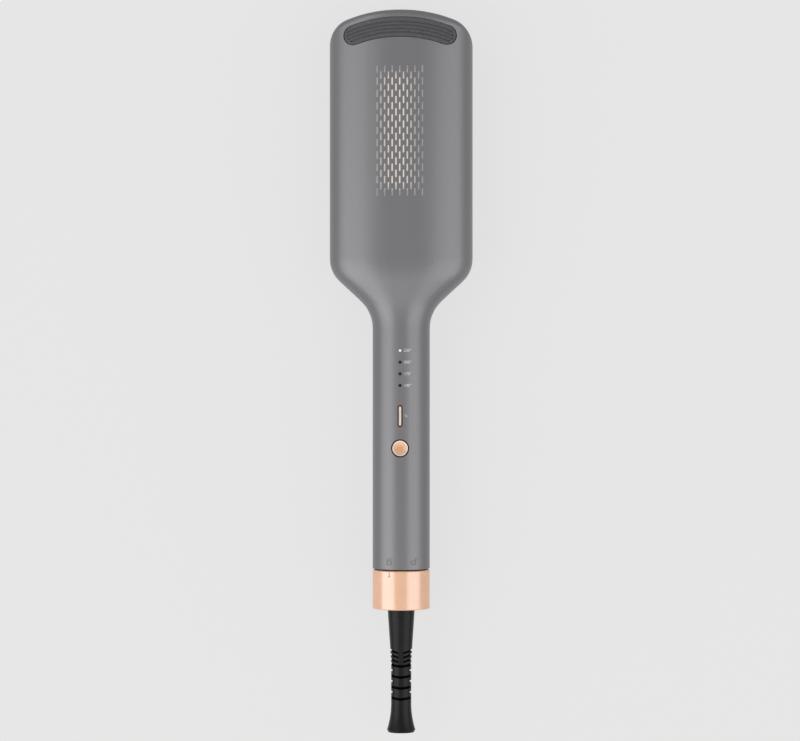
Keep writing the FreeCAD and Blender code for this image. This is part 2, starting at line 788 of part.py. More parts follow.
def control_shell():
    """Upper arm: open at the tail, with vents, lens holes and the openings for both buttons."""
    seam_y = place_of("seam_y")
    shell = bare_shell(seam_y, seam_y - OVERSHOOT)
    through = (place_of("board_top"), place_of("mid_height") + OVERSHOOT)
    pocket_x = place_of("screen_half_width") + dim("screen_side_gap")
    pocket_y = place_of("screen_half_length") + dim("screen_side_gap")
    vent_y = place_of("vent_y")
    pocket_span = (place_of("pad_top"), place_of("screen_roof"))
    pocket = solid_box((-pocket_x, pocket_x), (vent_y - pocket_y, vent_y + pocket_y), pocket_span)
    cuts = [pocket.common(shell)]
    slot_span = (place_of("screen_roof") - OVERSHOOT, place_of("mid_height") + OVERSHOOT)
    for x, y in vent_places():
        cuts.append(slot_prism(dim("vent_slot_width") / 2, dim("vent_slot_length") / 2, x, y, slot_span))
    cuts.append(solid_rod(dim("power_diameter") / 2 + dim("power_gap"), 0, place_of("power_y"), through))
    mode_half = dim("mode_width") / 2 + dim("mode_gap")
    mode_reach = dim("mode_length") / 2 + dim("mode_gap")
    cuts.append(slot_prism(mode_half, mode_reach, 0, place_of("mode_y"), through))
    for index in range(int(dim("lens_count"))):
        y = place_of("lens_y") - index * dim("lens_pitch")
        cuts.append(solid_rod(dim("lens_diameter") / 2 + dim("lens_fit"), 0, y, through))
    return shell.cut(cuts)


def base_shell():
    """Lower arm: its tail end is cut back to a slanted wall, which lets the upper arm's tail swing."""
    hinge_y = place_of("hinge_y")
    radius = place_of("handle_radius")
    shell = bare_shell(place_of("seam_y"), place_of("base_wall_y"))
    wedge_reach = 2 * radius
    wedge = solid_box((-wedge_reach, wedge_reach), (-wedge_reach, 0), (-wedge_reach, wedge_reach))
    wedge.rotate(Vector(), Vector(1, 0, 0), -place_of("wedge_angle"))
    wedge.translate(Vector(0, hinge_y, 0))
    room_x = place_of("ear_outer") + dim("hinge_room")
    room_rise = dim("ear_diameter") / 2 + dim("hinge_room")
    tail_y = (hinge_y - radius, place_of("base_wall_y") + OVERSHOOT)
    room = solid_box((-room_x, room_x), tail_y, (0, room_rise))
    tongue_x = dim("tongue_width") / 2 + dim("lock_gap")
    tongue_rise = place_of("tongue_rise")
    tongue_gap = dim("seat_gap")
    slot_span = (tongue_rise - tongue_gap, tongue_rise + dim("tongue_thickness") + tongue_gap)
    tongue_slot = solid_box((-tongue_x, tongue_x), tail_y, slot_span)
    seat_end = radius - dim("shell_wall") / 2
    seat_span = (tongue_rise + dim("tongue_thickness"), seat_end)
    seat = solid_rod(dim("boss_diameter") / 2, 0, tongue_screw_y(), seat_span)
    screw_radius = dim("screw_diameter") / 2 + dim("screw_fit")
    screw_span = (tongue_rise, seat_end + dim("seat_gap"))
    screw_hole = solid_rod(screw_radius, 0, tongue_screw_y(), screw_span)
    return shell.fuse(seat).cut([wedge, room, tongue_slot, screw_hole])


def tongue_screw_y():
    return place_of("tongue_root_y") - dim("boss_diameter") / 2


def inner_cover(rear_y):
    """Flat cover inside the shell's rim, with the plate's window and counterbored screw holes."""
    inset = dim("shell_wall") + dim("cover_fit")
    form = arm_form(inset, place_of("rim_rise"), place_of("seam_y"))
    reach = place_of("paddle_half")
    span = (place_of("rim_rise"), place_of("cover_top"))
    cover = form.common(solid_box((-reach, reach), (rear_y, place_of("tip_y")), span))
    window_gap = dim("window_gap")
    window_x = place_of("plate_half") + window_gap
    window_y = (place_of("plate_rear_y") - window_gap, place_of("plate_front_y") + window_gap)
    window = solid_box((-window_x, window_x), window_y, span)
    uprights = [edge for edge in window.Edges if abs(edge.tangentAt(0).z) > LEAN]
    cuts = [window.makeFillet(dim("plate_corner_radius") + window_gap, uprights)]
    head_radius = dim("screw_head_diameter") / 2 + dim("seat_gap")
    shank_radius = dim("screw_diameter") / 2 + dim("seat_gap")
    head_span = (span[0], span[0] + dim("screw_head_depth"))
    for x, y in screw_places():
        cuts.append(solid_rod(head_radius, x, y, head_span))
        cuts.append(solid_rod(shank_radius, x, y, span))
    return cover.cut(cuts)


def base_cover():
    """Lower inner cover, with the hinge knuckle on a web at its tail end."""
    cover = inner_cover(place_of("base_wall_y") + dim("cover_fit"))
    half = place_of("knuckle_half")
    hinge_y = place_of("hinge_y")
    radius = dim("knuckle_diameter") / 2
    start = Vector(-half, hinge_y, 0)
    along = Vector(1, 0, 0)
    barrel = Part.makeCylinder(radius, 2 * half, start, along)
    web_y = (hinge_y, hinge_y + dim("knuckle_web"))
    web = solid_box((-half, half), web_y, (place_of("rim_rise"), radius))
    bore = Part.makeCylinder(place_of("pin_radius") + dim("pin_fit"), 2 * half, start, along)
    return cover.fuse([barrel, web]).cut(bore).removeSplitter()


def tip_grip():
    """Rubber crescent let into the shell, its top just under the shell's face, with grooves along it."""
    outline = grip_outline(-dim("grip_fit"))
    ribbed = grip_outline(-dim("grip_border"))
    top = paddle_form(dim("grip_recess"), 0)
    floor = paddle_form(dim("grip_depth") - dim("seat_gap"), 0)
    groove_floor = paddle_form(dim("grip_recess") + dim("groove_depth"), 0)
    grip = top.common(outline).cut(floor)
    grooves = [grip_groove(index).common(ribbed) for index in range(int(dim("groove_count")))]
    return grip.cut([groove.cut(groove_floor) for groove in grooves])


def cover_screws(name):
    """Five flat-headed screws that hold an inner cover to its shell."""
    screws = []
    spread = "Dims.end_screw_spread / 2"
    rows = ("Layout.tip_screw_y", "Layout.neck_screw_y")
    places = [(f"{side}{spread}", y) for y in rows for side in ("-", "")]
    places.append(("0", "Layout.handle_screw_y"))
    head_span = ("Layout.rim_rise", "Layout.rim_rise + Dims.screw_head_depth")
    shank_span = (head_span[1], "Layout.rim_rise + Dims.screw_length")
    for index, centre in enumerate(places):
        head = rod(f"{name}_head_{index}", "Dims.screw_head_diameter / 2", "z", centre, head_span)
        shank = rod(f"{name}_shank_{index}", "Dims.screw_diameter / 2", "z", centre, shank_span)
        screws.append(fuse(f"{name}_{index}", [head, shank]))
    return group(name, screws)


# Heating plate, heater, clamp, sensor, float pads and leads of one arm

def plate_body(name):
    """Plate that shows in the window, with a flange behind the cover that stops it from falling out."""
    body = new_body(name)
    face = new_sketch(body, "XY_Plane", "Layout.plate_face")
    plate_x = ("-Layout.plate_half", "Layout.plate_half")
    plate_y = ("Layout.plate_rear_y", "Layout.plate_front_y")
    rectangle(face, plate_x, plate_y)
    block = pad(body, face, "Layout.flange_rise - Layout.plate_face")

    def upright(point, along):
        return abs(along.z) > LEAN

    rounded = round_edges(body, block, "Dims.plate_corner_radius", upright)
    face_rise = place_of("plate_face")

    def front(point, along):
        return abs(point.z - face_rise) < CLOSE

    round_edges(body, rounded, "Dims.plate_edge_radius", front)
    back = new_sketch(body, "XY_Plane", "Layout.flange_rise")
    flange_x = [f"{side} {sign} Dims.flange_lip" for side, sign in zip(plate_x, "-+")]
    flange_y = [f"{side} {sign} Dims.flange_lip" for side, sign in zip(plate_y, "-+")]
    rectangle(back, flange_x, flange_y)
    pad(body, back, "Dims.flange_thickness")
    return body


def heater_slab(name):
    half = "Dims.heater_width / 2"
    ends = ("Layout.heater_rear_y", "Layout.heater_front_y")
    slab = box(f"{name}_slab", (f"-{half}", half), ends, ("Layout.flange_top", "Layout.heater_top"))
    return group(name, [slab])


def clamp_body(name):
    """Hat-section sheet that holds the heater down on the plate."""
    body = new_body(name)
    sketch = new_sketch(body, "XZ_Plane", "-Layout.heater_front_y")
    inner = "Dims.heater_width / 2 + Dims.clamp_fit"
    outer = f"{inner} + Dims.clamp_sheet"
    foot = f"{outer} + Dims.clamp_foot"
    foot_rise = "Layout.flange_top + Dims.clamp_sheet"
    roof = "Layout.heater_top + Dims.clamp_fit"
    right = [(inner, "Layout.flange_top"), (foot, "Layout.flange_top"), (foot, foot_rise),
             (outer, foot_rise), (outer, "Layout.clamp_top")]
    left = [(f"-({u})", v) for u, v in reversed(right)]
    profile(sketch, right + left + [(f"-({inner})", roof), (inner, roof)])
    pad(body, sketch, "Layout.heater_front_y - Layout.heater_rear_y")
    return body


def sensor_rod(name):
    rise = "Layout.clamp_top + Dims.sensor_diameter / 2"
    ends = ("-Dims.sensor_length / 2", "Dims.sensor_length / 2")
    return group(name, [rod(f"{name}_rod", "Dims.sensor_diameter / 2", "y", ("0", rise), ends)])


def float_pads(name):
    pads = []
    rows = ("Layout.pad_front_y", "Layout.pad_rear_y")
    span = ("Layout.pad_foot", "Layout.pad_top")
    places = [(f"{side}Layout.pad_x", y) for y in rows for side in ("-", "")]
    for index, centre in enumerate(places):
        pads.append(rod(f"{name}_{index}", "Dims.pad_diameter / 2", "z", centre, span))
    return group(name, pads)


def heater_leads(name, rear_y):
    """Two insulated leads that run along the handle to the heater's tail end."""
    leads = []
    for side in ("-", ""):
        centre = (f"{side}Dims.lead_spacing / 2", "Layout.lead_rise")
        span = (rear_y, "Layout.heater_rear_y - Dims.lead_end_gap")
        leads.append(rod(f"{name}_{side or 'plus'}", "Dims.lead_diameter / 2", "y", centre, span))
    return group(name, leads)


# Buttons, lenses and board

def power_button():
    """Dished round cap with a lip under the shell and a stem down to its switch."""
    body = new_body("power_button")
    sketch = new_sketch(body, "XZ_Plane")
    radius = "Dims.power_diameter / 2"
    rim = "Layout.handle_radius - Dims.power_sink"
    lip_foot = "Layout.power_lip_top - Dims.button_lip_thickness"
    stem = "Dims.stem_diameter / 2"
    stem_foot = "Layout.actuator_top + Dims.seat_gap + Dims.power_travel"
    sag = f"(({radius})^2 + Dims.power_dish^2) / (2 * Dims.power_dish)"
    corners = [("0", stem_foot), (stem, stem_foot), (stem, lip_foot),
               ("Layout.power_lip_radius", lip_foot), ("Layout.power_lip_radius", "Layout.power_lip_top"),
               (radius, "Layout.power_lip_top"), (radius, rim), ("0", f"{rim} - Dims.power_dish")]
    profile(sketch, corners, {6: (sag, -1)})
    revolve(body, sketch)
    return body


def mode_button():
    """Narrow pill-shaped key on a wider lip, with a stem down to its switch."""
    body = new_body("mode_button")
    half = "Dims.mode_width / 2"
    reach = "Dims.mode_length / 2"
    lip_foot = "Layout.mode_lip_top - Dims.button_lip_thickness"
    stem_foot = "Layout.actuator_top + Dims.seat_gap + Dims.mode_travel"
    top = "Layout.handle_radius + Dims.mode_proud"
    lip = new_sketch(body, "XY_Plane", lip_foot)
    stadium(lip, f"{half} + Dims.button_lip", f"{reach} + Dims.button_lip")
    pad(body, lip, "Dims.button_lip_thickness")
    key = new_sketch(body, "XY_Plane", "Layout.mode_lip_top")
    stadium(key, half, reach)
    pad(body, key, f"{top} - Layout.mode_lip_top")
    stem_half = "Dims.stem_diameter / 2"
    stem = new_sketch(body, "XY_Plane", stem_foot)
    rectangle(stem, (f"-{stem_half}", stem_half), (f"-{stem_half}", stem_half))
    pad(body, stem, f"{lip_foot} - ({stem_foot})")
    return body


def lens_rod(index):
    y = f"Layout.lens_y - {index} * Dims.lens_pitch"
    foot = "Layout.board_top + Dims.diode_height + Dims.seat_gap"
    top = "Layout.handle_radius + Dims.lens_proud"
    return rod(f"lens_{index}", "Dims.lens_diameter / 2", "z", ("0", y), (foot, top))


def diode_box(index):
    half = "Dims.diode_size / 2"
    y = f"Layout.lens_y - {index} * Dims.lens_pitch"
    ends = (f"{y} - {half}", f"{y} + {half}")
    rise = ("Layout.board_top", "Layout.board_top + Dims.diode_height")
    return box(f"diode_{index}", (f"-{half}", half), ends, rise)


def switch_solid(name, y):
    half = "Dims.switch_size / 2"
    body_top = "Layout.board_top + Dims.switch_height"
    ends = (f"{y} - {half}", f"{y} + {half}")
    case = box(f"{name}_case", (f"-{half}", half), ends, ("Layout.board_top", body_top))
    key = rod(f"{name}_key", "Dims.stem_diameter / 2", "z", ("0", y), (body_top, "Layout.actuator_top"))
    return fuse(name, [case, key])


def control_board():
    """Circuit board on two rails that stand on the inner cover."""
    half = "Layout.board_half"
    ends = ("Layout.board_rear_y", "Layout.board_front_y")
    slab = box("board_slab", (f"-{half}", half), ends, ("Layout.board_rise", "Layout.board_top"))
    rail = "Dims.board_thickness"
    foot = ("Layout.cover_top", "Layout.board_rise")
    left = box("board_rail_left", (f"-{half}", f"-{half} + {rail}"), ends, foot)
    right = box("board_rail_right", (f"{half} - {rail}", half), ends, foot)
    return fuse("control_board", [slab, left, right])


def power_parts():
    """Capacitor and triac on the board, ahead of the lenses."""
    radius = "Dims.capacitor_diameter / 2"
    rear_y = "Layout.lens_y + Dims.part_spacing"
    capacitor = rod("capacitor", radius, "y", (f"-{radius}", f"Layout.board_top + {radius}"),
                    (rear_y, f"{rear_y} + Dims.capacitor_length"))
    triac_x = ("Dims.triac_offset", "Dims.triac_offset + Dims.triac_width")
    triac_rise = ("Layout.board_top", "Layout.board_top + Dims.triac_thickness")
    triac = box("triac", triac_x, (rear_y, f"{rear_y} + Dims.triac_length"), triac_rise)
    return group("board_power_parts", [capacitor, triac])


def vent_screen():
    """Flat screen in a pocket of the upper shell, close behind the vent slots."""
    x = "Layout.screen_half_width"
    y = "Layout.screen_half_length"
    top = "Layout.screen_roof - Dims.screen_fit"
    slab = box("vent_screen_slab", (f"-{x}", x), (f"Layout.vent_y - {y}", f"Layout.vent_y + {y}"),
               (f"{top} - Dims.screen_thickness", top))
    return group("vent_screen", [slab])


# Tail: core with hinge ears and ring spigot, lower cover, cap, lock and swivel

def tail_core():
    """Moulding fixed in the upper arm: bulkhead, spigot for the ring, hinge ears and side rails."""
    axis = ("0", "0")
    hinge = ("Layout.hinge_y", "0")
    bulkhead_end = "Layout.seam_y + Dims.bulkhead_thickness"
    bulkhead_radius = "Layout.handle_bore - Dims.core_fit"
    bulkhead = rod("core_bulkhead", bulkhead_radius, "y", axis, ("Layout.seam_y", bulkhead_end))
    spigot_span = ("Layout.spigot_end_y", "Layout.seam_y")
    spigot = rod("core_spigot", "Layout.spigot_radius", "y", axis, spigot_span)
    pieces = [bulkhead, spigot]
    ear_radius = "Dims.ear_diameter / 2"
    arm_y = (bulkhead_end, "Layout.hinge_y")
    rail_y = (bulkhead_end, "Layout.core_front_y")
    rail_rise = ("Layout.rim_rise", "Layout.rim_rise + Dims.rail_thickness")
    left = ("-Layout.ear_outer", "-Layout.ear_inner")
    right = ("Layout.ear_inner", "Layout.ear_outer")
    for side, ends in (("left", left), ("right", right)):
        pieces.append(rod(f"core_ear_{side}", ear_radius, "x", hinge, ends))
        pieces.append(box(f"core_arm_{side}", ends, arm_y, (f"-{ear_radius}", ear_radius)))
        pieces.append(box(f"core_rail_{side}", ends, rail_y, rail_rise))
    pin = rod("core_pin_hole", "Layout.pin_radius", "x", hinge, (left[0], right[1]))
    wire_span = ("Layout.spigot_end_y", bulkhead_end)
    wires = rod("core_wire_bore", "Dims.wire_bore / 2", "y", axis, wire_span)
    socket_radius = "Dims.swivel_flange_diameter / 2 + Dims.lock_gap"
    socket_span = ("Layout.spigot_end_y", "Layout.flange_front_y + Dims.cap_gap")
    socket = rod("core_socket", socket_radius, "y", axis, socket_span)
    slot_half = "Dims.tongue_width / 2 + Dims.lock_gap"
    slot_x = (f"-({slot_half})", slot_half)
    slot_rise = ("-Layout.handle_radius", "Layout.slot_roof")
    tongue_slot = box("core_tongue_slot", slot_x, ("Layout.hub_front_y", bulkhead_end), slot_rise)
    return cut("tail_core", fuse("core_solid", pieces), [pin, wires, socket, tongue_slot])


def tail_cover():
    """Lower half of the handle between the base arm and the ring, closed up to the upper shell's rim."""
    body = new_body("tail_cover_tube")
    sketch = new_sketch(body, "XY_Plane")
    ends = ("Layout.seam_y", "Layout.tail_cover_front_y")
    corners = [("Layout.handle_bore", ends[0]), ("Layout.handle_radius - Dims.seam_chamfer", ends[0]),
               ("Layout.handle_radius", "Layout.seam_y + Dims.seam_chamfer"),
               ("Layout.handle_radius", ends[1]), ("Layout.handle_bore", ends[1])]
    profile(sketch, corners)
    revolve(body, sketch)
    reach = ("-Layout.handle_radius", "Layout.handle_radius")
    upper_rise = ("Layout.rim_rise - Dims.tail_cover_fit", "Layout.handle_radius")
    upper = box("tail_cover_upper", reach, ends, upper_rise)
    return cut("tail_cover", body, [upper])


def hinge_pin():
    ends = ("-Layout.ear_outer", "Layout.ear_outer")
    pin = rod("hinge_pin_rod", "Layout.pin_radius", "x", ("Layout.hinge_y", "0"), ends)
    return group("hinge_pin", [pin])


def opening_spring():
    """Steel strip in the gap between the covers, held at the upper one and bearing on the lower one."""
    body = new_body("opening_spring")
    sketch = new_sketch(body, "YZ_Plane", "-Dims.spring_width / 2")
    root = "Layout.hinge_y + Dims.spring_root"
    bend = f"{root} + Dims.spring_flat"
    end = f"{root} + Dims.spring_length"
    high = "Layout.rim_rise - Dims.seat_gap"
    low = "-Layout.rim_rise + Dims.seat_gap"
    strip = "Dims.spring_strip"
    corners = [(root, high), (root, f"{high} - {strip}"), (bend, f"{high} - {strip}"),
               (end, low), (end, f"{low} + {strip}"), (bend, high)]
    profile(sketch, corners)
    pad(body, sketch, "Dims.spring_width")
    return body


def lock_tongue():
    """Flat steel tongue from the base arm, through the tail, into the ring."""
    half = "Dims.tongue_width / 2"
    top = "Layout.tongue_rise + Dims.tongue_thickness"
    rise = ("Layout.tongue_rise", top)
    ends = ("Layout.tongue_end_y", "Layout.tongue_root_y")
    strip = box("tongue_strip", (f"-{half}", half), ends, rise)
    hole_radius = "Dims.screw_diameter / 2 + Dims.screw_fit"
    hole_y = "Layout.tongue_root_y - Dims.boss_diameter / 2"
    hole = rod("tongue_hole", hole_radius, "z", ("0", hole_y), rise)
    return cut("lock_tongue", strip, [hole])


def tongue_screw():
    y = "Layout.tongue_root_y - Dims.boss_diameter / 2"
    head_span = ("Layout.tongue_rise - Dims.screw_head_depth", "Layout.tongue_rise")
    head = rod("tongue_screw_head", "Dims.screw_head_diameter / 2", "z", ("0", y), head_span)
    shank_span = ("Layout.tongue_rise", "Layout.handle_radius - Dims.shell_wall / 2")
    shank = rod("tongue_screw_shank", "Dims.screw_diameter / 2", "z", ("0", y), shank_span)
    return fuse("tongue_screw", [head, shank])


def lock_ring():
    """Turning sleeve with chamfered edges and an end wall round the strain relief."""
    body = new_body("lock_ring")
    sketch = new_sketch(body, "XY_Plane")
    outer = "Layout.handle_radius"
    mouth = "Dims.relief_head_diameter / 2 + Dims.ring_mouth_gap"
    wall_y = "Layout.ring_end_y + Dims.ring_wall"
    narrow = f"{outer} - Dims.ring_chamfer"
    corners = [("Layout.ring_bore", "Layout.ring_front_y"), ("Layout.ring_bore", wall_y),
               (mouth, wall_y), (mouth, "Layout.ring_end_y"), (narrow, "Layout.ring_end_y"),
               (outer, "Layout.ring_end_y + Dims.ring_chamfer"),
               (outer, "Layout.ring_front_y - Dims.ring_chamfer"), (narrow, "Layout.ring_front_y")]
    profile(sketch, corners)
    revolve(body, sketch)
    return body


def lock_cam():
    """Hub that runs on the spigot and carries the finger that stops the tongue when the ring is turned."""
    hub_span = ("Layout.hub_end_y", "Layout.hub_front_y")
    hub = rod("cam_hub", "Layout.ring_bore - Dims.cam_fit", "y", ("0", "0"), hub_span)
    bore = rod("cam_bore", "Layout.spigot_radius + Dims.running_fit", "y", ("0", "0"), hub_span)
    half = "Dims.finger_width / 2"
    finger_y = ("Layout.hub_front_y", "Layout.hub_front_y + Dims.finger_length")
    finger_rise = ("-Layout.finger_outer", "-Layout.finger_inner")
    finger = box("cam_finger", (f"-{half}", half), finger_y, finger_rise)
    turned = group("cam_finger_turned", [finger])
    turned.Placement = FreeCAD.Placement(Vector(), FreeCAD.Rotation(Y_AXIS, -dim("lock_turn")))
    turned.setExpression("Placement.Rotation.Angle", "-Dims.lock_turn")
    return fuse("lock_cam", [cut("cam_ring", hub, [bore]), turned])


def tail_cap():
    """Disc on the spigot's end that keeps the cam and the swivel in place."""
    body = new_body("tail_cap")
    sketch = new_sketch(body, "XY_Plane")
    bore = "Dims.swivel_neck_diameter / 2 + Dims.running_fit"
    rim = "Layout.ring_bore - Dims.cap_side_gap"
    rectangle(sketch, (bore, rim), ("Layout.cap_end_y", "Layout.spigot_end_y"))
    revolve(body, sketch)
    return body


def slanted_pair(name, reach, rise, width, y, angle, inset):
    """Two strips that run outwards and up from near the sleeve's middle, one on each side."""
    half = f"{width} / 2"
    overlap = f"{half} * tan({angle})"
    wings = {"right": (f"-{overlap}", reach, "", 1), "left": (f"-{reach}", overlap, "-", -1)}
    strips = []
    for wing, (low, high, sign, turn) in wings.items():
        bar = box(f"{name}_{wing}_bar", (low, high), (f"-{half}", half), rise)
        strip = group(f"{name}_{wing}", [bar])
        lean = FreeCAD.Rotation(Vector(0, 0, 1), turn * number(angle))
        strip.Placement = FreeCAD.Placement(Vector(), lean)
        strip.setExpression("Placement.Rotation.Angle", f"{sign}{angle}")
        strip.setExpression("Placement.Base.x", f"{sign}{inset}")
        strip.setExpression("Placement.Base.y", y)
        strips.append(strip)
    return strips


def down_to_core(name, strips, radius, axis_rise):
    """Strips without what lies inside a round core along the sleeve."""
    span = ("Layout.relief_end_y", "Layout.ring_end_y")
    core = rod(f"{name}_core", radius, "y", ("0", axis_rise), span)
    return cut(name, fuse(f"{name}_strips", strips), [core])


def bend_slots(reach):
    """Slots across the sleeve's front and back; their eccentric floor makes them run out at its sides."""
    radius = "Dims.slot_floor_radius"
    setback = f"({radius} + Dims.bend_slot_depth - Dims.relief_waist_diameter / 2)"
    faces = {"front": (("0", reach), f"-{setback}"), "back": ((f"-{reach}", "0"), setback)}
    slots = []
    for side, (rise, axis_rise) in faces.items():
        strips = []
        for index in range(int(dim("front_bend_slots"))):
            y = f"Layout.ring_end_y - Dims.bend_slot_start - {index} * Dims.bend_slot_pitch"
            strips += slanted_pair(f"bend_{side}_{index}", reach, rise, "Dims.bend_slot_width", y,
                                   "Dims.bend_slot_angle", "0")
        slots.append(down_to_core(f"bend_slots_{side}", strips, radius, axis_rise))
    return slots


def side_slots(reach):
    """Square slots across the sleeve's sides, a little further down than the bend slots."""
    core = "Dims.relief_waist_diameter / 2 - Dims.side_slot_depth"
    flanks = {"minus": (f"-{reach}", f"-({core})"), "plus": (core, reach)}
    half = "Dims.side_slot_width / 2"
    slots = []
    for index in range(int(dim("side_bend_slots"))):
        drop = f"Dims.bend_slot_start - Dims.side_slot_shift - {index} * Dims.bend_slot_pitch"
        y = f"Layout.ring_end_y - {drop}"
        for side, depth in flanks.items():
            slots.append(box(f"side_slot_{index}_{side}", depth, (f"{y} - {half}", f"{y} + {half}"),
                             (f"-{reach}", reach)))
    return slots


def chevron_grooves(reach):
    """Slanted grooves round the sleeve above its bend slots, open at the middle of the front and back."""
    strips = []
    for index in range(int(dim("chevron_count"))):
        y = f"Layout.ring_end_y - Dims.chevron_start - {index} * Dims.chevron_pitch"
        strips += slanted_pair(f"chevron_{index}", reach, (f"-{reach}", reach), "Dims.chevron_width", y,
                               "Dims.chevron_angle", "Dims.chevron_inset")
    return down_to_core("chevrons", strips, "Dims.relief_waist_diameter / 2 - Dims.chevron_depth", "0")


def strain_relief():
    """Swivelling rubber sleeve: flange and neck inside the tail, waist and bend slots outside."""
    body = new_body("relief_sleeve")
    sketch = new_sketch(body, "XY_Plane")
    bore = "Dims.cord_bore / 2"
    flange = "Dims.swivel_flange_diameter / 2"
    neck = "Dims.swivel_neck_diameter / 2"
    head = "Dims.relief_head_diameter / 2"
    shoulder = "Dims.relief_shoulder_diameter / 2"
    throat = "Dims.relief_throat_diameter / 2"
    waist = "Dims.relief_waist_diameter / 2"
    bell = "Dims.relief_bell_diameter / 2"
    relief_shoulder_y = "Layout.ring_end_y - Dims.relief_shoulder_run"
    throat_y = "Layout.ring_end_y - Dims.relief_throat_run"
    taper_y = "Layout.ring_end_y - Dims.relief_taper_length"
    bell_y = "Layout.relief_end_y + Dims.relief_bell_length"
    lip_y = "Layout.relief_end_y + Dims.relief_lip"
    lip_run = "(Dims.relief_bell_length - Dims.relief_lip)"
    corners = [(bore, "Layout.flange_front_y"), (bore, "Layout.relief_end_y"),
               (f"{bell} - Dims.relief_lip / 2", "Layout.relief_end_y"), (bell, lip_y), (waist, bell_y),
               (waist, taper_y), (throat, throat_y), (shoulder, relief_shoulder_y),
               (head, "Layout.ring_end_y"), (head, "Layout.relief_head_y"),
               (neck, "Layout.relief_head_y"), (neck, "Layout.flange_end_y"),
               (flange, "Layout.flange_end_y"), (flange, "Layout.flange_front_y")]
    flare = f"({lip_run}^2 + ({bell} - {waist})^2) / (2 * ({bell} - {waist}))"
    profile(sketch, corners, {3: (flare, -1)})
    revolve(body, sketch)
    reach = "Dims.relief_bell_diameter"
    return cut("strain_relief", body, bend_slots(reach) + side_slots(reach) + [chevron_grooves(reach)])


# The assembly: everything on an arm is placed in that arm's own frame

for arm in ("base", "control"):
    keep_shape(tip_grip(), f"{arm}_tip_grip", arm)
    keep(plate_body(f"{arm}_plate"), f"{arm}_plate", arm)
    keep(heater_slab(f"{arm}_heater"), f"{arm}_heater", arm)
    keep(clamp_body(f"{arm}_heater_clamp"), f"{arm}_heater_clamp", arm)
    keep(sensor_rod(f"{arm}_sensor"), f"{arm}_sensor", arm)
    keep(float_pads(f"{arm}_float_pads"), f"{arm}_float_pads", arm)
    keep(cover_screws(f"{arm}_cover_screws"), f"{arm}_cover_screws", arm)

keep_shape(base_shell(), "base_shell", "base")
keep_shape(base_cover(), "base_inner_cover", "base")
keep(lock_tongue(), "lock_tongue", "base")
keep(tongue_screw(), "tongue_screw", "base")

keep_shape(control_shell(), "control_shell")
keep_shape(inner_cover(number("Layout.core_front_y + Dims.hinge_room")), "control_inner_cover")
keep(vent_screen(), "vent_screen")
keep(heater_leads("base_leads", "Layout.base_wall_y + Dims.boss_gap"), "base_leads", "base")
keep(heater_leads("control_leads", "Layout.board_front_y - Dims.lead_lap"), "control_leads")
keep(control_board(), "control_board")
switch_rows = (("power_switch", "Layout.power_y"), ("mode_switch", "Layout.mode_y"))
keep(group("key_switches", [switch_solid(name, y) for name, y in switch_rows]), "key_switches")
lens_numbers = range(int(dim("lens_count")))
keep(group("indicator_diodes", [diode_box(index) for index in lens_numbers]), "indicator_diodes")
keep(group("indicator_lens_lit", [lens_rod(0)]), "indicator_lens_lit")
keep(group("indicator_lenses", [lens_rod(index) for index in lens_numbers[1:]]), "indicator_lenses")
keep(power_parts(), "board_power_parts")
keep(power_button(), "power_button", y="Layout.power_y")
keep(mode_button(), "mode_button", y="Layout.mode_y")
keep(tail_core(), "tail_core")
keep(tail_cover(), "tail_cover")
keep(tail_cap(), "tail_cap")
keep(hinge_pin(), "hinge_pin")
keep(opening_spring(), "opening_spring")
keep(lock_ring(), "lock_ring")
keep(lock_cam(), "lock_cam")
keep(strain_relief(), "strain_relief")

document.recompute()
failed = [part.Label for part in document.Objects if {"Invalid", "Error"} & set(part.State)]
if failed:
    raise RuntimeError(f"not built: {failed}")
for part in sub_parts:
    if part.Shape.isNull() or not part.Shape.isValid() or not part.Shape.Solids:
        raise RuntimeError(f"bad shape: {part.Label}")

os.makedirs("parts", exist_ok=True)
for part in sub_parts:
    part.Shape.exportStep(f"parts/{part.Label}.step")
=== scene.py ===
import json
import math

import bmesh
import bpy
from mathutils import Matrix, Vector
from mathutils.bvhtree import BVHTree


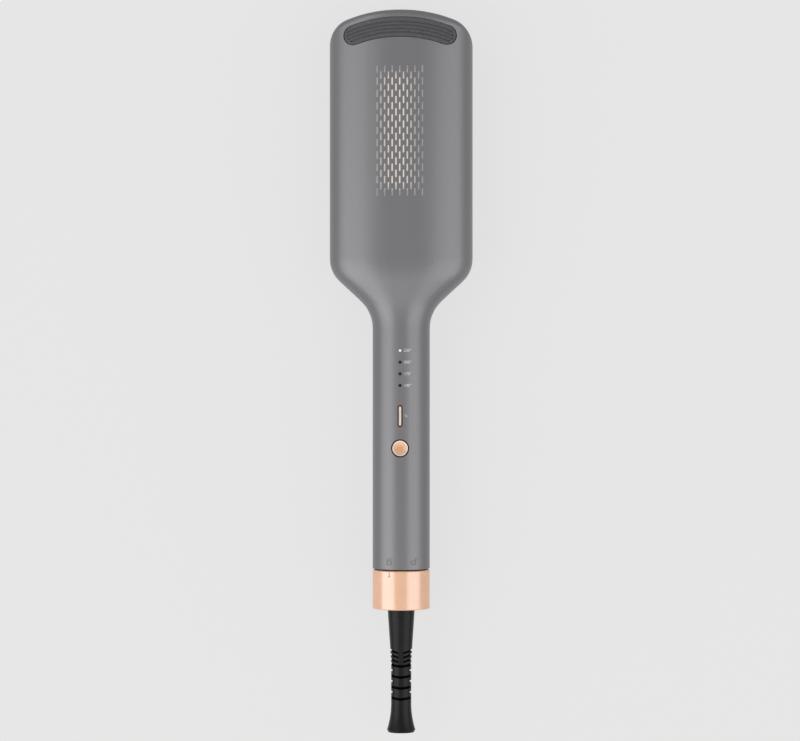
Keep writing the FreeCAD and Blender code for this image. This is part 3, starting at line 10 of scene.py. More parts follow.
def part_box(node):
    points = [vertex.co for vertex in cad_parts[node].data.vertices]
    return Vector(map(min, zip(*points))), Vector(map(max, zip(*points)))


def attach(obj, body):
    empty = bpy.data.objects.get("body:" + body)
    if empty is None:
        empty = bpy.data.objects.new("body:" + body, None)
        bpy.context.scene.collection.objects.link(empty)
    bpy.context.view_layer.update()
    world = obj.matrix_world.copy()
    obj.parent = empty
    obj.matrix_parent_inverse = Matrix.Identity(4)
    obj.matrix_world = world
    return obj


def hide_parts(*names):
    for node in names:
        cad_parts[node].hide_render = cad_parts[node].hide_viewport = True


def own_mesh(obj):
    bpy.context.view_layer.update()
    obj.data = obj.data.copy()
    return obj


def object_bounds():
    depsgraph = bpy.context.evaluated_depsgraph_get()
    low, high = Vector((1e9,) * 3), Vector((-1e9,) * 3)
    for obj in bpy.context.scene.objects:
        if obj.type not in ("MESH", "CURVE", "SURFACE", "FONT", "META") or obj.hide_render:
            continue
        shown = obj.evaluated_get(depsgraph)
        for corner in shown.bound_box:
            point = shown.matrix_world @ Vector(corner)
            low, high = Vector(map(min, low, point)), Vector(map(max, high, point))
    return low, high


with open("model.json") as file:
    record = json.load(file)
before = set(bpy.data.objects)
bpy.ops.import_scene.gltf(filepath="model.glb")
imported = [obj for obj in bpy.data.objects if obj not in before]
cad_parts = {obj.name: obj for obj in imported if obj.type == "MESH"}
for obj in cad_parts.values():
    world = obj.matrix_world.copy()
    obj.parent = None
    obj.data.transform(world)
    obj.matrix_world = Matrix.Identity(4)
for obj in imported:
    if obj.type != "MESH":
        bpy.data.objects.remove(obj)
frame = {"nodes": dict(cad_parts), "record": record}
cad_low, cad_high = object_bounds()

# Looks of a wide-plate hair straightener, in metres, in the frame of its solids.
# +X is right in the photograph, +Y runs to the tip and +Z faces the camera.
MM = 0.001

record = frame["record"]
nodes = frame["nodes"]

# The photograph: its size, the pixel of the frame's origin and the length of a pixel
# on the parting plane between the arms.
PHOTO_WIDTH = 800
PHOTO_HEIGHT = 741
ORIGIN_PIXEL = (401.2, 153.5)
PIXEL = 0.49 * MM

parting_height = (cad_low.z + cad_high.z) / 2
view_middle = Vector((
    (PHOTO_WIDTH / 2 - ORIGIN_PIXEL[0]) * PIXEL,
    (ORIGIN_PIXEL[1] - PHOTO_HEIGHT / 2) * PIXEL,
    parting_height,
))


# Shader nodes

# Range in which nearly all values of a random field lie.
FIELD_LOW = 0.3
FIELD_HIGH = 0.7

# Pitch of a wave texture whose scale is 1.
WAVE_PITCH = math.pi / 10

# Places of a Mix node's colour sockets, which share their names with its other sockets.
MIX_FIRST = 6
MIX_SECOND = 7
MIX_RESULT = 2

BUMP_STRENGTH = 0.6


def new_material(name, metallic=0.0, specular=0.5):
    material = bpy.data.materials.new(name)
    material.use_nodes = True
    shader = material.node_tree.nodes["Principled BSDF"]
    shader.inputs["Metallic"].default_value = metallic
    shader.inputs["Specular IOR Level"].default_value = specular
    return material, material.node_tree, shader


def coordinates(tree, scale=(1, 1, 1), shift=(0, 0, 0)):
    """Coordinates that stick to the solid, scaled along its axes and then shifted."""
    source = tree.nodes.new("ShaderNodeTexCoord")
    mapping = tree.nodes.new("ShaderNodeMapping")
    mapping.inputs["Scale"].default_value = scale
    mapping.inputs["Location"].default_value = shift
    tree.links.new(source.outputs["Object"], mapping.inputs["Vector"])
    return mapping.outputs["Vector"]


def noise(tree, size, detail=2.0, scale=(1, 1, 1)):
    """Random field with blobs of about the given size, drawn out where an axis is scaled down."""
    texture = tree.nodes.new("ShaderNodeTexNoise")
    texture.inputs["Scale"].default_value = 1 / size
    texture.inputs["Detail"].default_value = detail
    tree.links.new(coordinates(tree, scale), texture.inputs["Vector"])
    return texture.outputs["Fac"]


def waves(tree, pitch, kind, direction, centre=(0, 0, 0)):
    """Bands or rings of the given pitch, about a centre."""
    texture = tree.nodes.new("ShaderNodeTexWave")
    texture.wave_type = kind
    setattr(texture, f"{kind.lower()}_direction", direction)
    texture.inputs["Scale"].default_value = WAVE_PITCH / pitch
    shift = [-place for place in centre]
    tree.links.new(coordinates(tree, shift=shift), texture.inputs["Vector"])
    return texture.outputs["Fac"]


def ball(tree, centre, reach):
    """Field that falls from 1 at a centre to 0 at the given reach."""
    texture = tree.nodes.new("ShaderNodeTexGradient")
    texture.gradient_type = "SPHERICAL"
    shift = [-place / reach for place in centre]
    tree.links.new(coordinates(tree, (1 / reach,) * 3, shift), texture.inputs["Vector"])
    return texture.outputs["Fac"]


def along(tree, axis, centre=0.0):
    """Place along an axis of the solid, counted from a centre."""
    split = tree.nodes.new("ShaderNodeSeparateXYZ")
    shift = [-centre if name == axis else 0.0 for name in "XYZ"]
    tree.links.new(coordinates(tree, shift=shift), split.inputs["Vector"])
    return split.outputs[axis]


def off_centre(tree, axis, centre):
    """Distance from a centre along an axis, to both sides."""
    distance = tree.nodes.new("ShaderNodeMath")
    distance.operation = "ABSOLUTE"
    tree.links.new(along(tree, axis, centre), distance.inputs[0])
    return distance.outputs["Value"]


def from_axis(tree, centre, axis):
    """Distance from a line along an axis through a centre."""
    scale = [0 if name == axis else 1 for name in "XYZ"]
    shift = [-place * share for place, share in zip(centre, scale)]
    length = tree.nodes.new("ShaderNodeVectorMath")
    length.operation = "LENGTH"
    tree.links.new(coordinates(tree, scale, shift), length.inputs[0])
    return length.outputs["Value"]


def map_range(tree, field, start, end, low, high):
    """A field mapped so that it goes from low at the start to high at the end, and no further."""
    ranged = tree.nodes.new("ShaderNodeMapRange")
    ranged.inputs["From Min"].default_value = start
    ranged.inputs["From Max"].default_value = end
    ranged.inputs["To Min"].default_value = low
    ranged.inputs["To Max"].default_value = high
    tree.links.new(field, ranged.inputs["Value"])
    return ranged.outputs["Result"]


def step(tree, field, place, width, low=0.0, high=1.0):
    """Low below a place of a field and high above it, with a soft edge of the given width."""
    return map_range(tree, field, place - width / 2, place + width / 2, low, high)


def spread(tree, field, low, high):
    """A random field stretched between two values."""
    return map_range(tree, field, FIELD_LOW, FIELD_HIGH, low, high)


def tones(tree, field, stops):
    """Colour by a field, between two stops of position and colour."""
    ramp = tree.nodes.new("ShaderNodeValToRGB")
    for element, (position, colour) in zip(ramp.color_ramp.elements, stops):
        element.position = position
        element.color = (*colour, 1.0)
    tree.links.new(field, ramp.inputs["Fac"])
    return ramp.outputs["Color"]


def mottled(tree, field, dark, light):
    """Colour between two tones by a random field."""
    return tones(tree, field, [(FIELD_LOW, dark), (FIELD_HIGH, light)])


def blend_colours(tree, share, first, second):
    """The first colour where the share is 0 and the second where it is 1."""
    mix = tree.nodes.new("ShaderNodeMix")
    mix.data_type = "RGBA"
    tree.links.new(share, mix.inputs["Factor"])
    tree.links.new(first, mix.inputs[MIX_FIRST])
    tree.links.new(second, mix.inputs[MIX_SECOND])
    return mix.outputs[MIX_RESULT]


def emboss(tree, shader, field, depth):
    bump = tree.nodes.new("ShaderNodeBump")
    bump.inputs["Distance"].default_value = depth
    bump.inputs["Strength"].default_value = BUMP_STRENGTH
    tree.links.new(field, bump.inputs["Height"])
    tree.links.new(bump.outputs["Normal"], shader.inputs["Normal"])


# Materials, one for each slot of the record

# Detail of the cloudy colour.
CLOUD_DETAIL = 6.0

# Scales that draw the grain out into lines, round the tool or along it.
TURNED = (0.02, 1.0, 0.02)
ROLLED = (1.0, 0.03, 1.0)


def plain_finish(name, dark, light, mottle, roughness, grain, depth,
                 metallic=0.0, specular=0.5, lines=(1, 1, 1)):
    """Surface with a cloudy colour, in clouds of the mottle's size, and a fine grain."""
    material, tree, shader = new_material(name, metallic, specular)
    cloud = noise(tree, mottle, CLOUD_DETAIL)
    fine = noise(tree, grain, scale=lines)
    tree.links.new(mottled(tree, cloud, dark, light), shader.inputs["Base Color"])
    tree.links.new(spread(tree, fine, *roughness), shader.inputs["Roughness"])
    emboss(tree, shader, fine, depth)
    return material


PLAIN_FINISHES = {
    "cover_plastic": {
        "name": "dark_moulding", "dark": (0.022, 0.022, 0.025), "light": (0.032, 0.032, 0.036),
        "mottle": 3 * MM, "roughness": (0.5, 0.66), "grain": 0.3 * MM, "depth": 0.03 * MM,
    },
    "heater_sleeve": {
        "name": "heater_sleeve", "dark": (0.52, 0.52, 0.53), "light": (0.68, 0.68, 0.69),
        "mottle": 2 * MM, "roughness": (0.3, 0.5), "grain": 0.2 * MM, "depth": 0.01 * MM,
        "metallic": 1.0, "lines": ROLLED,
    },
    "clamp_steel": {
        "name": "clamp_sheet", "dark": (0.4, 0.4, 0.41), "light": (0.54, 0.54, 0.55),
        "mottle": 4 * MM, "roughness": (0.25, 0.42), "grain": 0.15 * MM, "depth": 0.01 * MM,
        "metallic": 1.0, "lines": ROLLED,
    },
    "sensor_bead": {
        "name": "varnished_bead", "dark": (0.45, 0.28, 0.11), "light": (0.62, 0.42, 0.19),
        "mottle": 1 * MM, "roughness": (0.15, 0.3), "grain": 0.4 * MM, "depth": 0.02 * MM,
    },
    "grip_rubber": {
        "name": "grip_rubber", "dark": (0.046, 0.046, 0.051), "light": (0.061, 0.061, 0.067),
        "mottle": 1.5 * MM, "roughness": (0.62, 0.78), "grain": 0.12 * MM, "depth": 0.02 * MM,
        "specular": 0.3,
    },
    "pad_silicone": {
        "name": "pad_silicone", "dark": (0.36, 0.09, 0.07), "light": (0.47, 0.13, 0.1),
        "mottle": 2 * MM, "roughness": (0.55, 0.7), "grain": 0.2 * MM, "depth": 0.02 * MM,
    },
    "screw_steel": {
        "name": "zinc_screw", "dark": (0.26, 0.26, 0.27), "light": (0.36, 0.36, 0.37),
        "mottle": 0.8 * MM, "roughness": (0.3, 0.42), "grain": 0.1 * MM, "depth": 0.004 * MM,
        "metallic": 1.0,
    },
    "part_black": {
        "name": "black_moulding", "dark": (0.016, 0.016, 0.018), "light": (0.026, 0.026, 0.028),
        "mottle": 1.5 * MM, "roughness": (0.4, 0.55), "grain": 0.2 * MM, "depth": 0.015 * MM,
    },
    "diode_body": {
        "name": "diode_cap", "dark": (0.7, 0.62, 0.3), "light": (0.85, 0.8, 0.5),
        "mottle": 0.6 * MM, "roughness": (0.15, 0.3), "grain": 0.3 * MM, "depth": 0.01 * MM,
    },
    "lens_dark": {
        "name": "dark_lens", "dark": (0.004, 0.004, 0.005), "light": (0.009, 0.009, 0.011),
        "mottle": 0.5 * MM, "roughness": (0.12, 0.22), "grain": 0.3 * MM, "depth": 0.005 * MM,
        "specular": 0.25,
    },
    "spring_steel": {
        "name": "spring_strip", "dark": (0.3, 0.3, 0.33), "light": (0.44, 0.44, 0.46),
        "mottle": 2 * MM, "roughness": (0.2, 0.35), "grain": 0.1 * MM, "depth": 0.008 * MM,
        "metallic": 1.0, "lines": ROLLED,
    },
}


def satin_lacquer():
    """Grey metallic lacquer under a satin coat."""
    material = plain_finish(
        "satin_grey_lacquer", dark=(0.128, 0.126, 0.134), light=(0.142, 0.14, 0.148),
        mottle=0.5 * MM, roughness=(0.4, 0.46), grain=0.14 * MM, depth=0.006 * MM, metallic=0.735)
    shader = material.node_tree.nodes["Principled BSDF"]
    shader.inputs["Coat Weight"].default_value = 0.45
    shader.inputs["Coat Roughness"].default_value = 0.4
    return material


def ceramic_plate():
    """Pearly ceramic: soft clouds of slightly different tone under a smooth coat."""
    material, tree, shader = new_material("ceramic_plate", metallic=0.6)
    pearl = noise(tree, size=3 * MM)
    cloud = noise(tree, size=6 * MM)
    colour = mottled(tree, pearl, dark=(0.19, 0.138, 0.116), light=(0.215, 0.158, 0.134))
    tree.links.new(colour, shader.inputs["Base Color"])
    tree.links.new(spread(tree, cloud, low=0.29, high=0.33), shader.inputs["Roughness"])
    shader.inputs["Coat Weight"].default_value = 0.25
    shader.inputs["Coat Roughness"].default_value = 0.18
    emboss(tree, shader, cloud, depth=0.004 * MM)
    return material


def braided_sleeve():
    """Glass-silk sleeve with slanted strands."""
    material, tree, shader = new_material("braided_sleeve")
    strands = waves(tree, pitch=0.5 * MM, kind="BANDS", direction="DIAGONAL")
    cloud = noise(tree, size=1.5 * MM)
    colour = mottled(tree, cloud, dark=(0.6, 0.59, 0.55), light=(0.76, 0.75, 0.72))
    tree.links.new(colour, shader.inputs["Base Color"])
    tree.links.new(spread(tree, cloud, low=0.6, high=0.8), shader.inputs["Roughness"])
    emboss(tree, shader, strands, depth=0.06 * MM)
    return material


def rose_ring():
    """Rose-gold lacquer with fine turned lines round the tool's axis, under a bright gloss."""
    material = plain_finish(
        "rose_gold_ring", dark=(0.48, 0.25, 0.133), light=(0.53, 0.275, 0.147),
        mottle=5 * MM, roughness=(0.24, 0.265), grain=0.12 * MM, depth=0.0006 * MM, lines=TURNED)
    material.node_tree.nodes["Principled BSDF"].inputs["IOR"].default_value = 2.4
    return material


# Depth below the top of the round key where painted shade starts, standing for the shade in the
# gaps round the keys, and where that key's painted rim highlight starts, with the widths of their
# soft edges.
GAP_SHADE_DEPTH = 0.9 * MM
GAP_SHADE_EDGE = 0.1 * MM
RIM_HIGHLIGHT_RADIUS = 3.25 * MM
RIM_HIGHLIGHT_EDGE = 0.5 * MM


def rose_keys():
    """Rose-gold plating with spun rings, a painted highlight on the round key's rim, and painted
    shade below the plating for the gaps round the keys.
    """
    low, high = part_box("power_button")
    centre = (low + high) / 2
    material, tree, shader = new_material("rose_gold_keys")
    rings = waves(tree, pitch=0.22 * MM, kind="RINGS", direction="Z", centre=centre)
    cloud = noise(tree, size=1.5 * MM)
    rose = mottled(tree, cloud, dark=(0.62, 0.37, 0.23), light=(0.7, 0.45, 0.31))
    # Paler tone on the round key's rim: a painted highlight where its edge would catch the light.
    pale = mottled(tree, cloud, dark=(0.74, 0.58, 0.48), light=(0.8, 0.65, 0.56))
    in_rim_highlight = step(tree, from_axis(tree, centre, "Z"), RIM_HIGHLIGHT_RADIUS, RIM_HIGHLIGHT_EDGE)
    plating = blend_colours(tree, in_rim_highlight, rose, pale)
    # Near-black below the plating: painted shade that stands for the dark gaps round the keys.
    carrier = mottled(tree, cloud, dark=(0.01, 0.01, 0.011), light=(0.02, 0.02, 0.022))
    above_gap_shade = step(tree, along(tree, "Z"), high.z - GAP_SHADE_DEPTH, GAP_SHADE_EDGE)
    tree.links.new(blend_colours(tree, above_gap_shade, carrier, plating), shader.inputs["Base Color"])
    tree.links.new(above_gap_shade, shader.inputs["Metallic"])
    tree.links.new(spread(tree, cloud, low=0.32, high=0.4), shader.inputs["Roughness"])
    emboss(tree, shader, rings, depth=0.004 * MM)
    return material


# Bright middle of the vent screen, and how far it takes to fade at its sides and ends.
BRIGHT_MIDDLE_X = -1.2 * MM
BRIGHT_HALF_WIDTH = 7.0 * MM
BRIGHT_HALF_LENGTH = 27.5 * MM
BRIGHT_SIDE_FADE = 8.0 * MM
BRIGHT_END_FADE = 5.0 * MM


def vent_mesh():
    """Screen behind the vents: pale rose in the middle, fading to grey towards its edges."""
    low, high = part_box("vent_screen")
    middle_y = (low.y + high.y) / 2
    material, tree, shader = new_material("vent_mesh", metallic=1.0)
    weave = waves(tree, pitch=0.3 * MM, kind="BANDS", direction="DIAGONAL")
    middle = tones(tree, weave, [(0.0, (0.97, 0.83, 0.74)), (1.0, (1.0, 0.91, 0.83))])
    edge = tones(tree, weave, [(0.0, (0.36, 0.36, 0.36)), (1.0, (0.44, 0.44, 0.43))])
    to_side = off_centre(tree, "X", BRIGHT_MIDDLE_X)
    to_end = off_centre(tree, "Y", middle_y)
    outer_columns = step(tree, to_side, BRIGHT_HALF_WIDTH, BRIGHT_SIDE_FADE)
    outer_rows = step(tree, to_end, BRIGHT_HALF_LENGTH, BRIGHT_END_FADE)
    columns = blend_colours(tree, outer_rows, middle, edge)
    tree.links.new(blend_colours(tree, outer_columns, columns, edge), shader.inputs["Base Color"])
    tree.links.new(spread(tree, weave, low=0.16, high=0.2), shader.inputs["Roughness"])
    emboss(tree, shader, weave, depth=0.002 * MM)
    return material


def board_laminate():
    """Green solder mask with lighter tracks."""
    material, tree, shader = new_material("board_laminate")
    tracks = waves(tree, pitch=1.2 * MM, kind="BANDS", direction="X")
    colour = tones(tree, tracks, [(0.82, (0.012, 0.095, 0.04)), (0.9, (0.05, 0.2, 0.08))])
    cloud = noise(tree, size=2 * MM)
    tree.links.new(colour, shader.inputs["Base Color"])
    tree.links.new(spread(tree, cloud, low=0.25, high=0.4), shader.inputs["Roughness"])
    emboss(tree, shader, tracks, depth=0.03 * MM)
    return material


def lit_lens():
    """Glowing lens, brightest at its middle."""
    low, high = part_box("indicator_lens_lit")
    width = high.x - low.x
    top = ((low.x + high.x) / 2, (low.y + high.y) / 2, high.z)
    material, tree, shader = new_material("lit_lens")
    glow = ball(tree, top, reach=width)
    light = tones(tree, glow, [(0.5, (0.2, 0.205, 0.21)), (0.9, (0.62, 0.62, 0.62))])
    frost = noise(tree, size=0.3 * MM)
    tree.links.new(light, shader.inputs["Base Color"])
    tree.links.new(light, shader.inputs["Emission Color"])
    shader.inputs["Emission Strength"].default_value = 0.4
    tree.links.new(spread(tree, frost, low=0.25, high=0.4), shader.inputs["Roughness"])
    emboss(tree, shader, frost, depth=0.01 * MM)
    return material


# Radius, about the strain relief's axis, inside which its grooves and slots lie; inside it the
# rubber gets painted shade, a darker colour and a weaker gloss.
GROOVE_RADIUS = 4.82 * MM
GROOVE_EDGE = 0.1 * MM
GROOVE_SHADE_SPECULAR = 0.01
GLOSS_SPECULAR = 0.165


def relief_rubber():
    """Black rubber with a soft gloss; the floors of its grooves and slots get painted shade, a
    darker colour and a weaker gloss.
    """
    low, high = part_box("strain_relief")
    material, tree, shader = new_material("relief_rubber")
    cloud = noise(tree, size=2 * MM, detail=CLOUD_DETAIL)
    fine = noise(tree, size=0.15 * MM)
    radius = from_axis(tree, (low + high) / 2, "Y")
    gloss = mottled(tree, cloud, dark=(0.002, 0.002, 0.0022), light=(0.004, 0.004, 0.0044))
    # Near-black with a weak gloss in the grooves and slots: painted shade for their deep floors.
    painted_groove_shade = mottled(tree, cloud, dark=(0.0004, 0.0004, 0.0005), light=(0.0008, 0.0008, 0.0009))
    outside = step(tree, radius, GROOVE_RADIUS, GROOVE_EDGE)
    specular = step(tree, radius, GROOVE_RADIUS, GROOVE_EDGE, GROOVE_SHADE_SPECULAR, GLOSS_SPECULAR)
    tree.links.new(blend_colours(tree, outside, painted_groove_shade, gloss), shader.inputs["Base Color"])
    tree.links.new(specular, shader.inputs["Specular IOR Level"])
    tree.links.new(spread(tree, fine, low=0.28, high=0.3), shader.inputs["Roughness"])
    emboss(tree, shader, fine, depth=0.004 * MM)
    return material


def print_ink(name, dark, light):
    return plain_finish(name, dark, light, mottle=0.4 * MM, roughness=(0.5, 0.65),
                        grain=0.08 * MM, depth=0.005 * MM)


SPECIAL_FINISHES = {
    "shell_plastic": satin_lacquer,
    "plate_coating": ceramic_plate,
    "lead_sleeve": braided_sleeve,
    "rose_metal": rose_ring,
    "rose_keys": rose_keys,
    "board_laminate": board_laminate,
    "lens_lit": lit_lens,
    "relief_rubber": relief_rubber,
}

finishes = {slot: plain_finish(**look) for slot, look in PLAIN_FINISHES.items()}
finishes |= {slot: make() for slot, make in SPECIAL_FINISHES.items()}


def dress_solids():
    for subpart in record["subparts"]:
        finish = finishes[subpart["material_slot"]]
        nodes[subpart["node"]].material_slots[0].material = finish
    nodes["vent_screen"].material_slots[0].material = vent_mesh()


def add_piece(name, shape, body, material):
    """Turn a shape into a piece that rides on a body."""
    mesh = bpy.data.meshes.new(name)
    shape.to_mesh(mesh)
    shape.free()
    mesh.materials.append(material)
    piece = bpy.data.objects.new(name, mesh)
    bpy.context.scene.collection.objects.link(piece)
    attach(piece, body)
    return piece


# Printed marks: flat outlines, laid on the solid that carries them and given a thickness

PRINT_LIFT = 0.03 * MM
PRINT_THICKNESS = 0.05 * MM
PROBE_HEIGHT = 100 * MM
STROKE = 0.28 * MM
STROKE_STEP = 0.25 * MM
ARC_STEPS = 18

# Height of a capital letter as a share of the font's size.
CAP_SHARE = 0.7


def arc_points(centre, radius, start, end, steps=ARC_STEPS):
    """Points of an arc, by angles in degrees from +X towards +Y."""
    turns = [math.radians(start + (end - start) * index / steps) for index in range(steps + 1)]
    return [Vector((centre.x + radius * math.cos(turn), centre.y + radius * math.sin(turn)))
            for turn in turns]


def circle_points(centre, radius, steps=ARC_STEPS):
    return arc_points(centre, radius, 0, 360, steps)[:-1]


def refine(points, closed):
    """Points with others between them, so close that a line through them follows a round solid."""
    ends = points[1:] + points[:1] if closed else points[1:]
    fine = []
    for start, end in zip(points, ends):
        steps = math.ceil((end - start).length / STROKE_STEP)
        fine += [start.lerp(end, index / steps) for index in range(steps)]
    return fine if closed else fine + points[-1:]


def add_stroke(outline, points, closed=False):
    """A line of even width through flat points, mitred at its corners."""
    points = refine(points, closed)
    count = len(points)
    sides = []
    for index, point in enumerate(points):
        before = points[(index - 1) % count] if closed or index > 0 else point
        after = points[(index + 1) % count] if closed or index < count - 1 else point
        run = (after - before).normalized()
        lead = (after - point if after != point else point - before).normalized()
        across = Vector((-run.y, run.x)) * (STROKE / 2 / run.dot(lead))
        sides.append([outline.verts.new((*(point + shift), 0)) for shift in (across, -across)])
    runs = count if closed else count - 1
    for index in range(runs):
        left, right = sides[index]
        next_left, next_right = sides[(index + 1) % count]
        outline.faces.new((left, right, next_right, next_left))


def add_disc(outline, centre, radius):
    outline.faces.new([outline.verts.new((*point, 0)) for point in circle_points(centre, radius)])


def add_words(outline, words, corner, height):
    """Flat characters whose left end is centred on the corner's height."""
    curve = bpy.data.curves.new("words", "FONT")
    curve.body = words
    curve.size = height / CAP_SHARE
    curve.align_y = "CENTER"
    holder = bpy.data.objects.new("words", curve)
    bpy.context.scene.collection.objects.link(holder)
    bpy.context.view_layer.update()
    evaluated = holder.evaluated_get(bpy.context.evaluated_depsgraph_get())
    flat = bpy.data.meshes.new_from_object(evaluated)
    flat.transform(Matrix.Translation((corner.x, corner.y, 0)))
    outline.from_mesh(flat)
    bpy.data.meshes.remove(flat)
    bpy.data.objects.remove(holder)
    bpy.data.curves.remove(curve)


def lay_on(name, outline, carrier, body, material):
    """Drop a flat outline onto a solid, thicken it, and let it ride on the solid's body."""
    skin = BVHTree.FromObject(nodes[carrier], bpy.context.evaluated_depsgraph_get())
    for corner in outline.verts:
        above = Vector((corner.co.x, corner.co.y, PROBE_HEIGHT))
        place = skin.ray_cast(above, Vector((0, 0, -1)))[0]
        corner.co.z = place.z + PRINT_LIFT
    bmesh.ops.recalc_face_normals(outline, faces=outline.faces)
    if sum(face.normal.z for face in outline.faces) < 0:
        bmesh.ops.reverse_faces(outline, faces=outline.faces)
    bmesh.ops.solidify(outline, geom=outline.faces[:], thickness=PRINT_THICKNESS)
    add_piece(name, outline, body, material)


def on_axis(node, x=0.0):
    """Flat point at the middle of a node, moved across the tool."""
    low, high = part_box(node)
    return Vector(((low.x + high.x) / 2 + x, (low.y + high.y) / 2))


LABELS = ("230\u00b0", "200\u00b0", "170\u00b0", "140\u00b0")
LABEL_GAP = 1.85 * MM
LABEL_HEIGHT = 1.35 * MM
UNIT_LABEL = "\u00b0C"
UNIT_GAP = 1.95 * MM
UNIT_HEIGHT = 1.1 * MM


def label_prints():
    """Plain numbers beside the lenses, and a unit beside the long key."""
    outline = bmesh.new()
    low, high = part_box("indicator_lenses")
    radius = (high.x - low.x) / 2
    first = on_axis("indicator_lens_lit", LABEL_GAP)
    pitch = (first.y - (low.y + radius)) / (len(LABELS) - 1)
    for index, words in enumerate(LABELS):
        add_words(outline, words, first - Vector((0, index * pitch)), LABEL_HEIGHT)
    add_words(outline, UNIT_LABEL, on_axis("mode_button", UNIT_GAP), UNIT_HEIGHT)
    ink = print_ink("pale_ink", dark=(0.42, 0.42, 0.42), light=(0.5, 0.5, 0.5))
    lay_on("label_prints", outline, "control_shell", "control_arm", ink)


# The power mark's open circle leaves a gap of so many degrees on both sides of its stem.
POWER_RADIUS = 1.15 * MM
POWER_GAP = 38
POWER_STEM = 1.5 * MM


def power_mark():
    """Open circle with a stem, on the round button."""
    outline = bmesh.new()
    centre = on_axis("power_button")
    add_stroke(outline, arc_points(centre, POWER_RADIUS, 90 + POWER_GAP, 450 - POWER_GAP))
    add_stroke(outline, [centre, centre + Vector((0, POWER_STEM))])
    ink = print_ink("power_ink", dark=(0.38, 0.18, 0.1), light=(0.46, 0.23, 0.13))
    lay_on("power_mark", outline, "power_button", "power_key", ink)


# Places of the padlocks round the handle, from its top towards +X.
CLOSED_TURN = math.radians(-22.5)
OPEN_TURN = math.radians(27.5)
LOCK_SETBACK = 4.1 * MM
LOCK_WIDTH = 2.1 * MM
LOCK_HEIGHT = 1.6 * MM
SHACKLE_RADIUS = 0.66 * MM
SHACKLE_LEG = 0.5 * MM


def add_padlock(outline, centre, is_open):
    """A padlock's outline; an open one has its shackle swung out to the side."""
    corners = [(1, 1), (-1, 1), (-1, -1), (1, -1)]
    body = [centre + Vector((u * LOCK_WIDTH / 2, v * LOCK_HEIGHT / 2)) for u, v in corners]
    add_stroke(outline, body, closed=True)
    shift = 2 * SHACKLE_RADIUS if is_open else 0.0
    root = centre + Vector((shift, LOCK_HEIGHT / 2))
    near_leg, far_leg = (root + Vector((x, 0)) for x in (-SHACKLE_RADIUS, SHACKLE_RADIUS))
    bow = arc_points(root + Vector((0, SHACKLE_LEG)), SHACKLE_RADIUS, 180, 0)
    add_stroke(outline, [near_leg] + bow + ([] if is_open else [far_leg]))


def lock_prints():
    """A closed and an open padlock on the handle, at the two ends of the ring's turn."""
    outline = bmesh.new()
    low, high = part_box("lock_ring")
    radius = (high.x - low.x) / 2
    y = high.y + LOCK_SETBACK
    for turn, is_open in ((CLOSED_TURN, False), (OPEN_TURN, True)):
        add_padlock(outline, Vector((radius * math.sin(turn), y)), is_open)
    ink = print_ink("dark_ink", dark=(0.05, 0.05, 0.055), light=(0.07, 0.07, 0.075))
    lay_on("lock_prints", outline, "control_shell", "control_arm", ink)


# Start and end of the tick behind the ring's front edge, and the radius of the dot at its end.
TICK_START = 0.45 * MM
TICK_END = 2.6 * MM
TICK_DOT = 0.34 * MM


def ring_tick():
    """Mark on the lock ring that points at one of the padlocks."""
    outline = bmesh.new()
    low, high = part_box("lock_ring")
    x = (high.x - low.x) / 2 * math.sin(CLOSED_TURN)
    foot = Vector((x, high.y - TICK_END))
    add_stroke(outline, [Vector((x, high.y - TICK_START)), foot + Vector((0, TICK_DOT))])
    add_disc(outline, foot, TICK_DOT)
    ink = print_ink("tick_ink", dark=(0.06, 0.034, 0.024), light=(0.09, 0.05, 0.034))
    lay_on("ring_tick", outline, "lock_ring", "twist_lock", ink)


# Turned pieces: the buffers under the plates and the screws of the covers

TURNED_STEPS = 36
SHARP_ANGLE = math.radians(40)

# Round solids of one node lie further apart than this, and each is smaller.
SOLID_REACH = 8 * MM


def rounds(node):
    """Middle and radius, seen from above, of each round solid of a node."""
    groups = []
    for vertex in nodes[node].data.vertices:
        place = vertex.co.xy
        near = [group for group in groups if (group[0] - place).length < SOLID_REACH]
        if near:
            near[0].append(place)
        else:
            groups.append([place])
    found = []
    for group in groups:
        low, high = (Vector([pick(axis) for axis in zip(*group)]) for pick in (min, max))
        found.append(((low + high) / 2, (high.x - low.x) / 2))
    return found


def bridge(shape, ring, next_ring):
    """Faces between two closed rings with as many corners."""
    for index in range(len(ring)):
        shape.faces.new((ring[index - 1], ring[index], next_ring[index], next_ring[index - 1]))


def add_turned(shape, centre, foot, way, profile):
    """Surface turned about an upright line, by radius and height; gives its first and last ring."""
    rings = []
    for radius, height in profile:
        rim = circle_points(centre, radius, TURNED_STEPS)
        rings.append([shape.verts.new((*point, foot + way * height)) for point in rim])
    for ring, next_ring in zip(rings, rings[1:]):
        bridge(shape, ring, next_ring)
    return rings[0], rings[-1]


def stand_for(name, shape, arm, node, slot):
    """A turned piece in the place of a node of an arm."""
    bmesh.ops.recalc_face_normals(shape, faces=shape.faces)
    piece = add_piece(name, shape, f"{arm}_arm", finishes[slot])
    piece.data.shade_smooth()
    piece.data.set_sharp_from_angle(angle=SHARP_ANGLE)
    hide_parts(node)
    return piece


# Half of a buffer's profile, as shares of its radius and of its length.
BUFFER_HALF = ((0.84, 0.0), (0.96, 0.04), (1.0, 0.12), (1.0, 0.3), (0.9, 0.42))


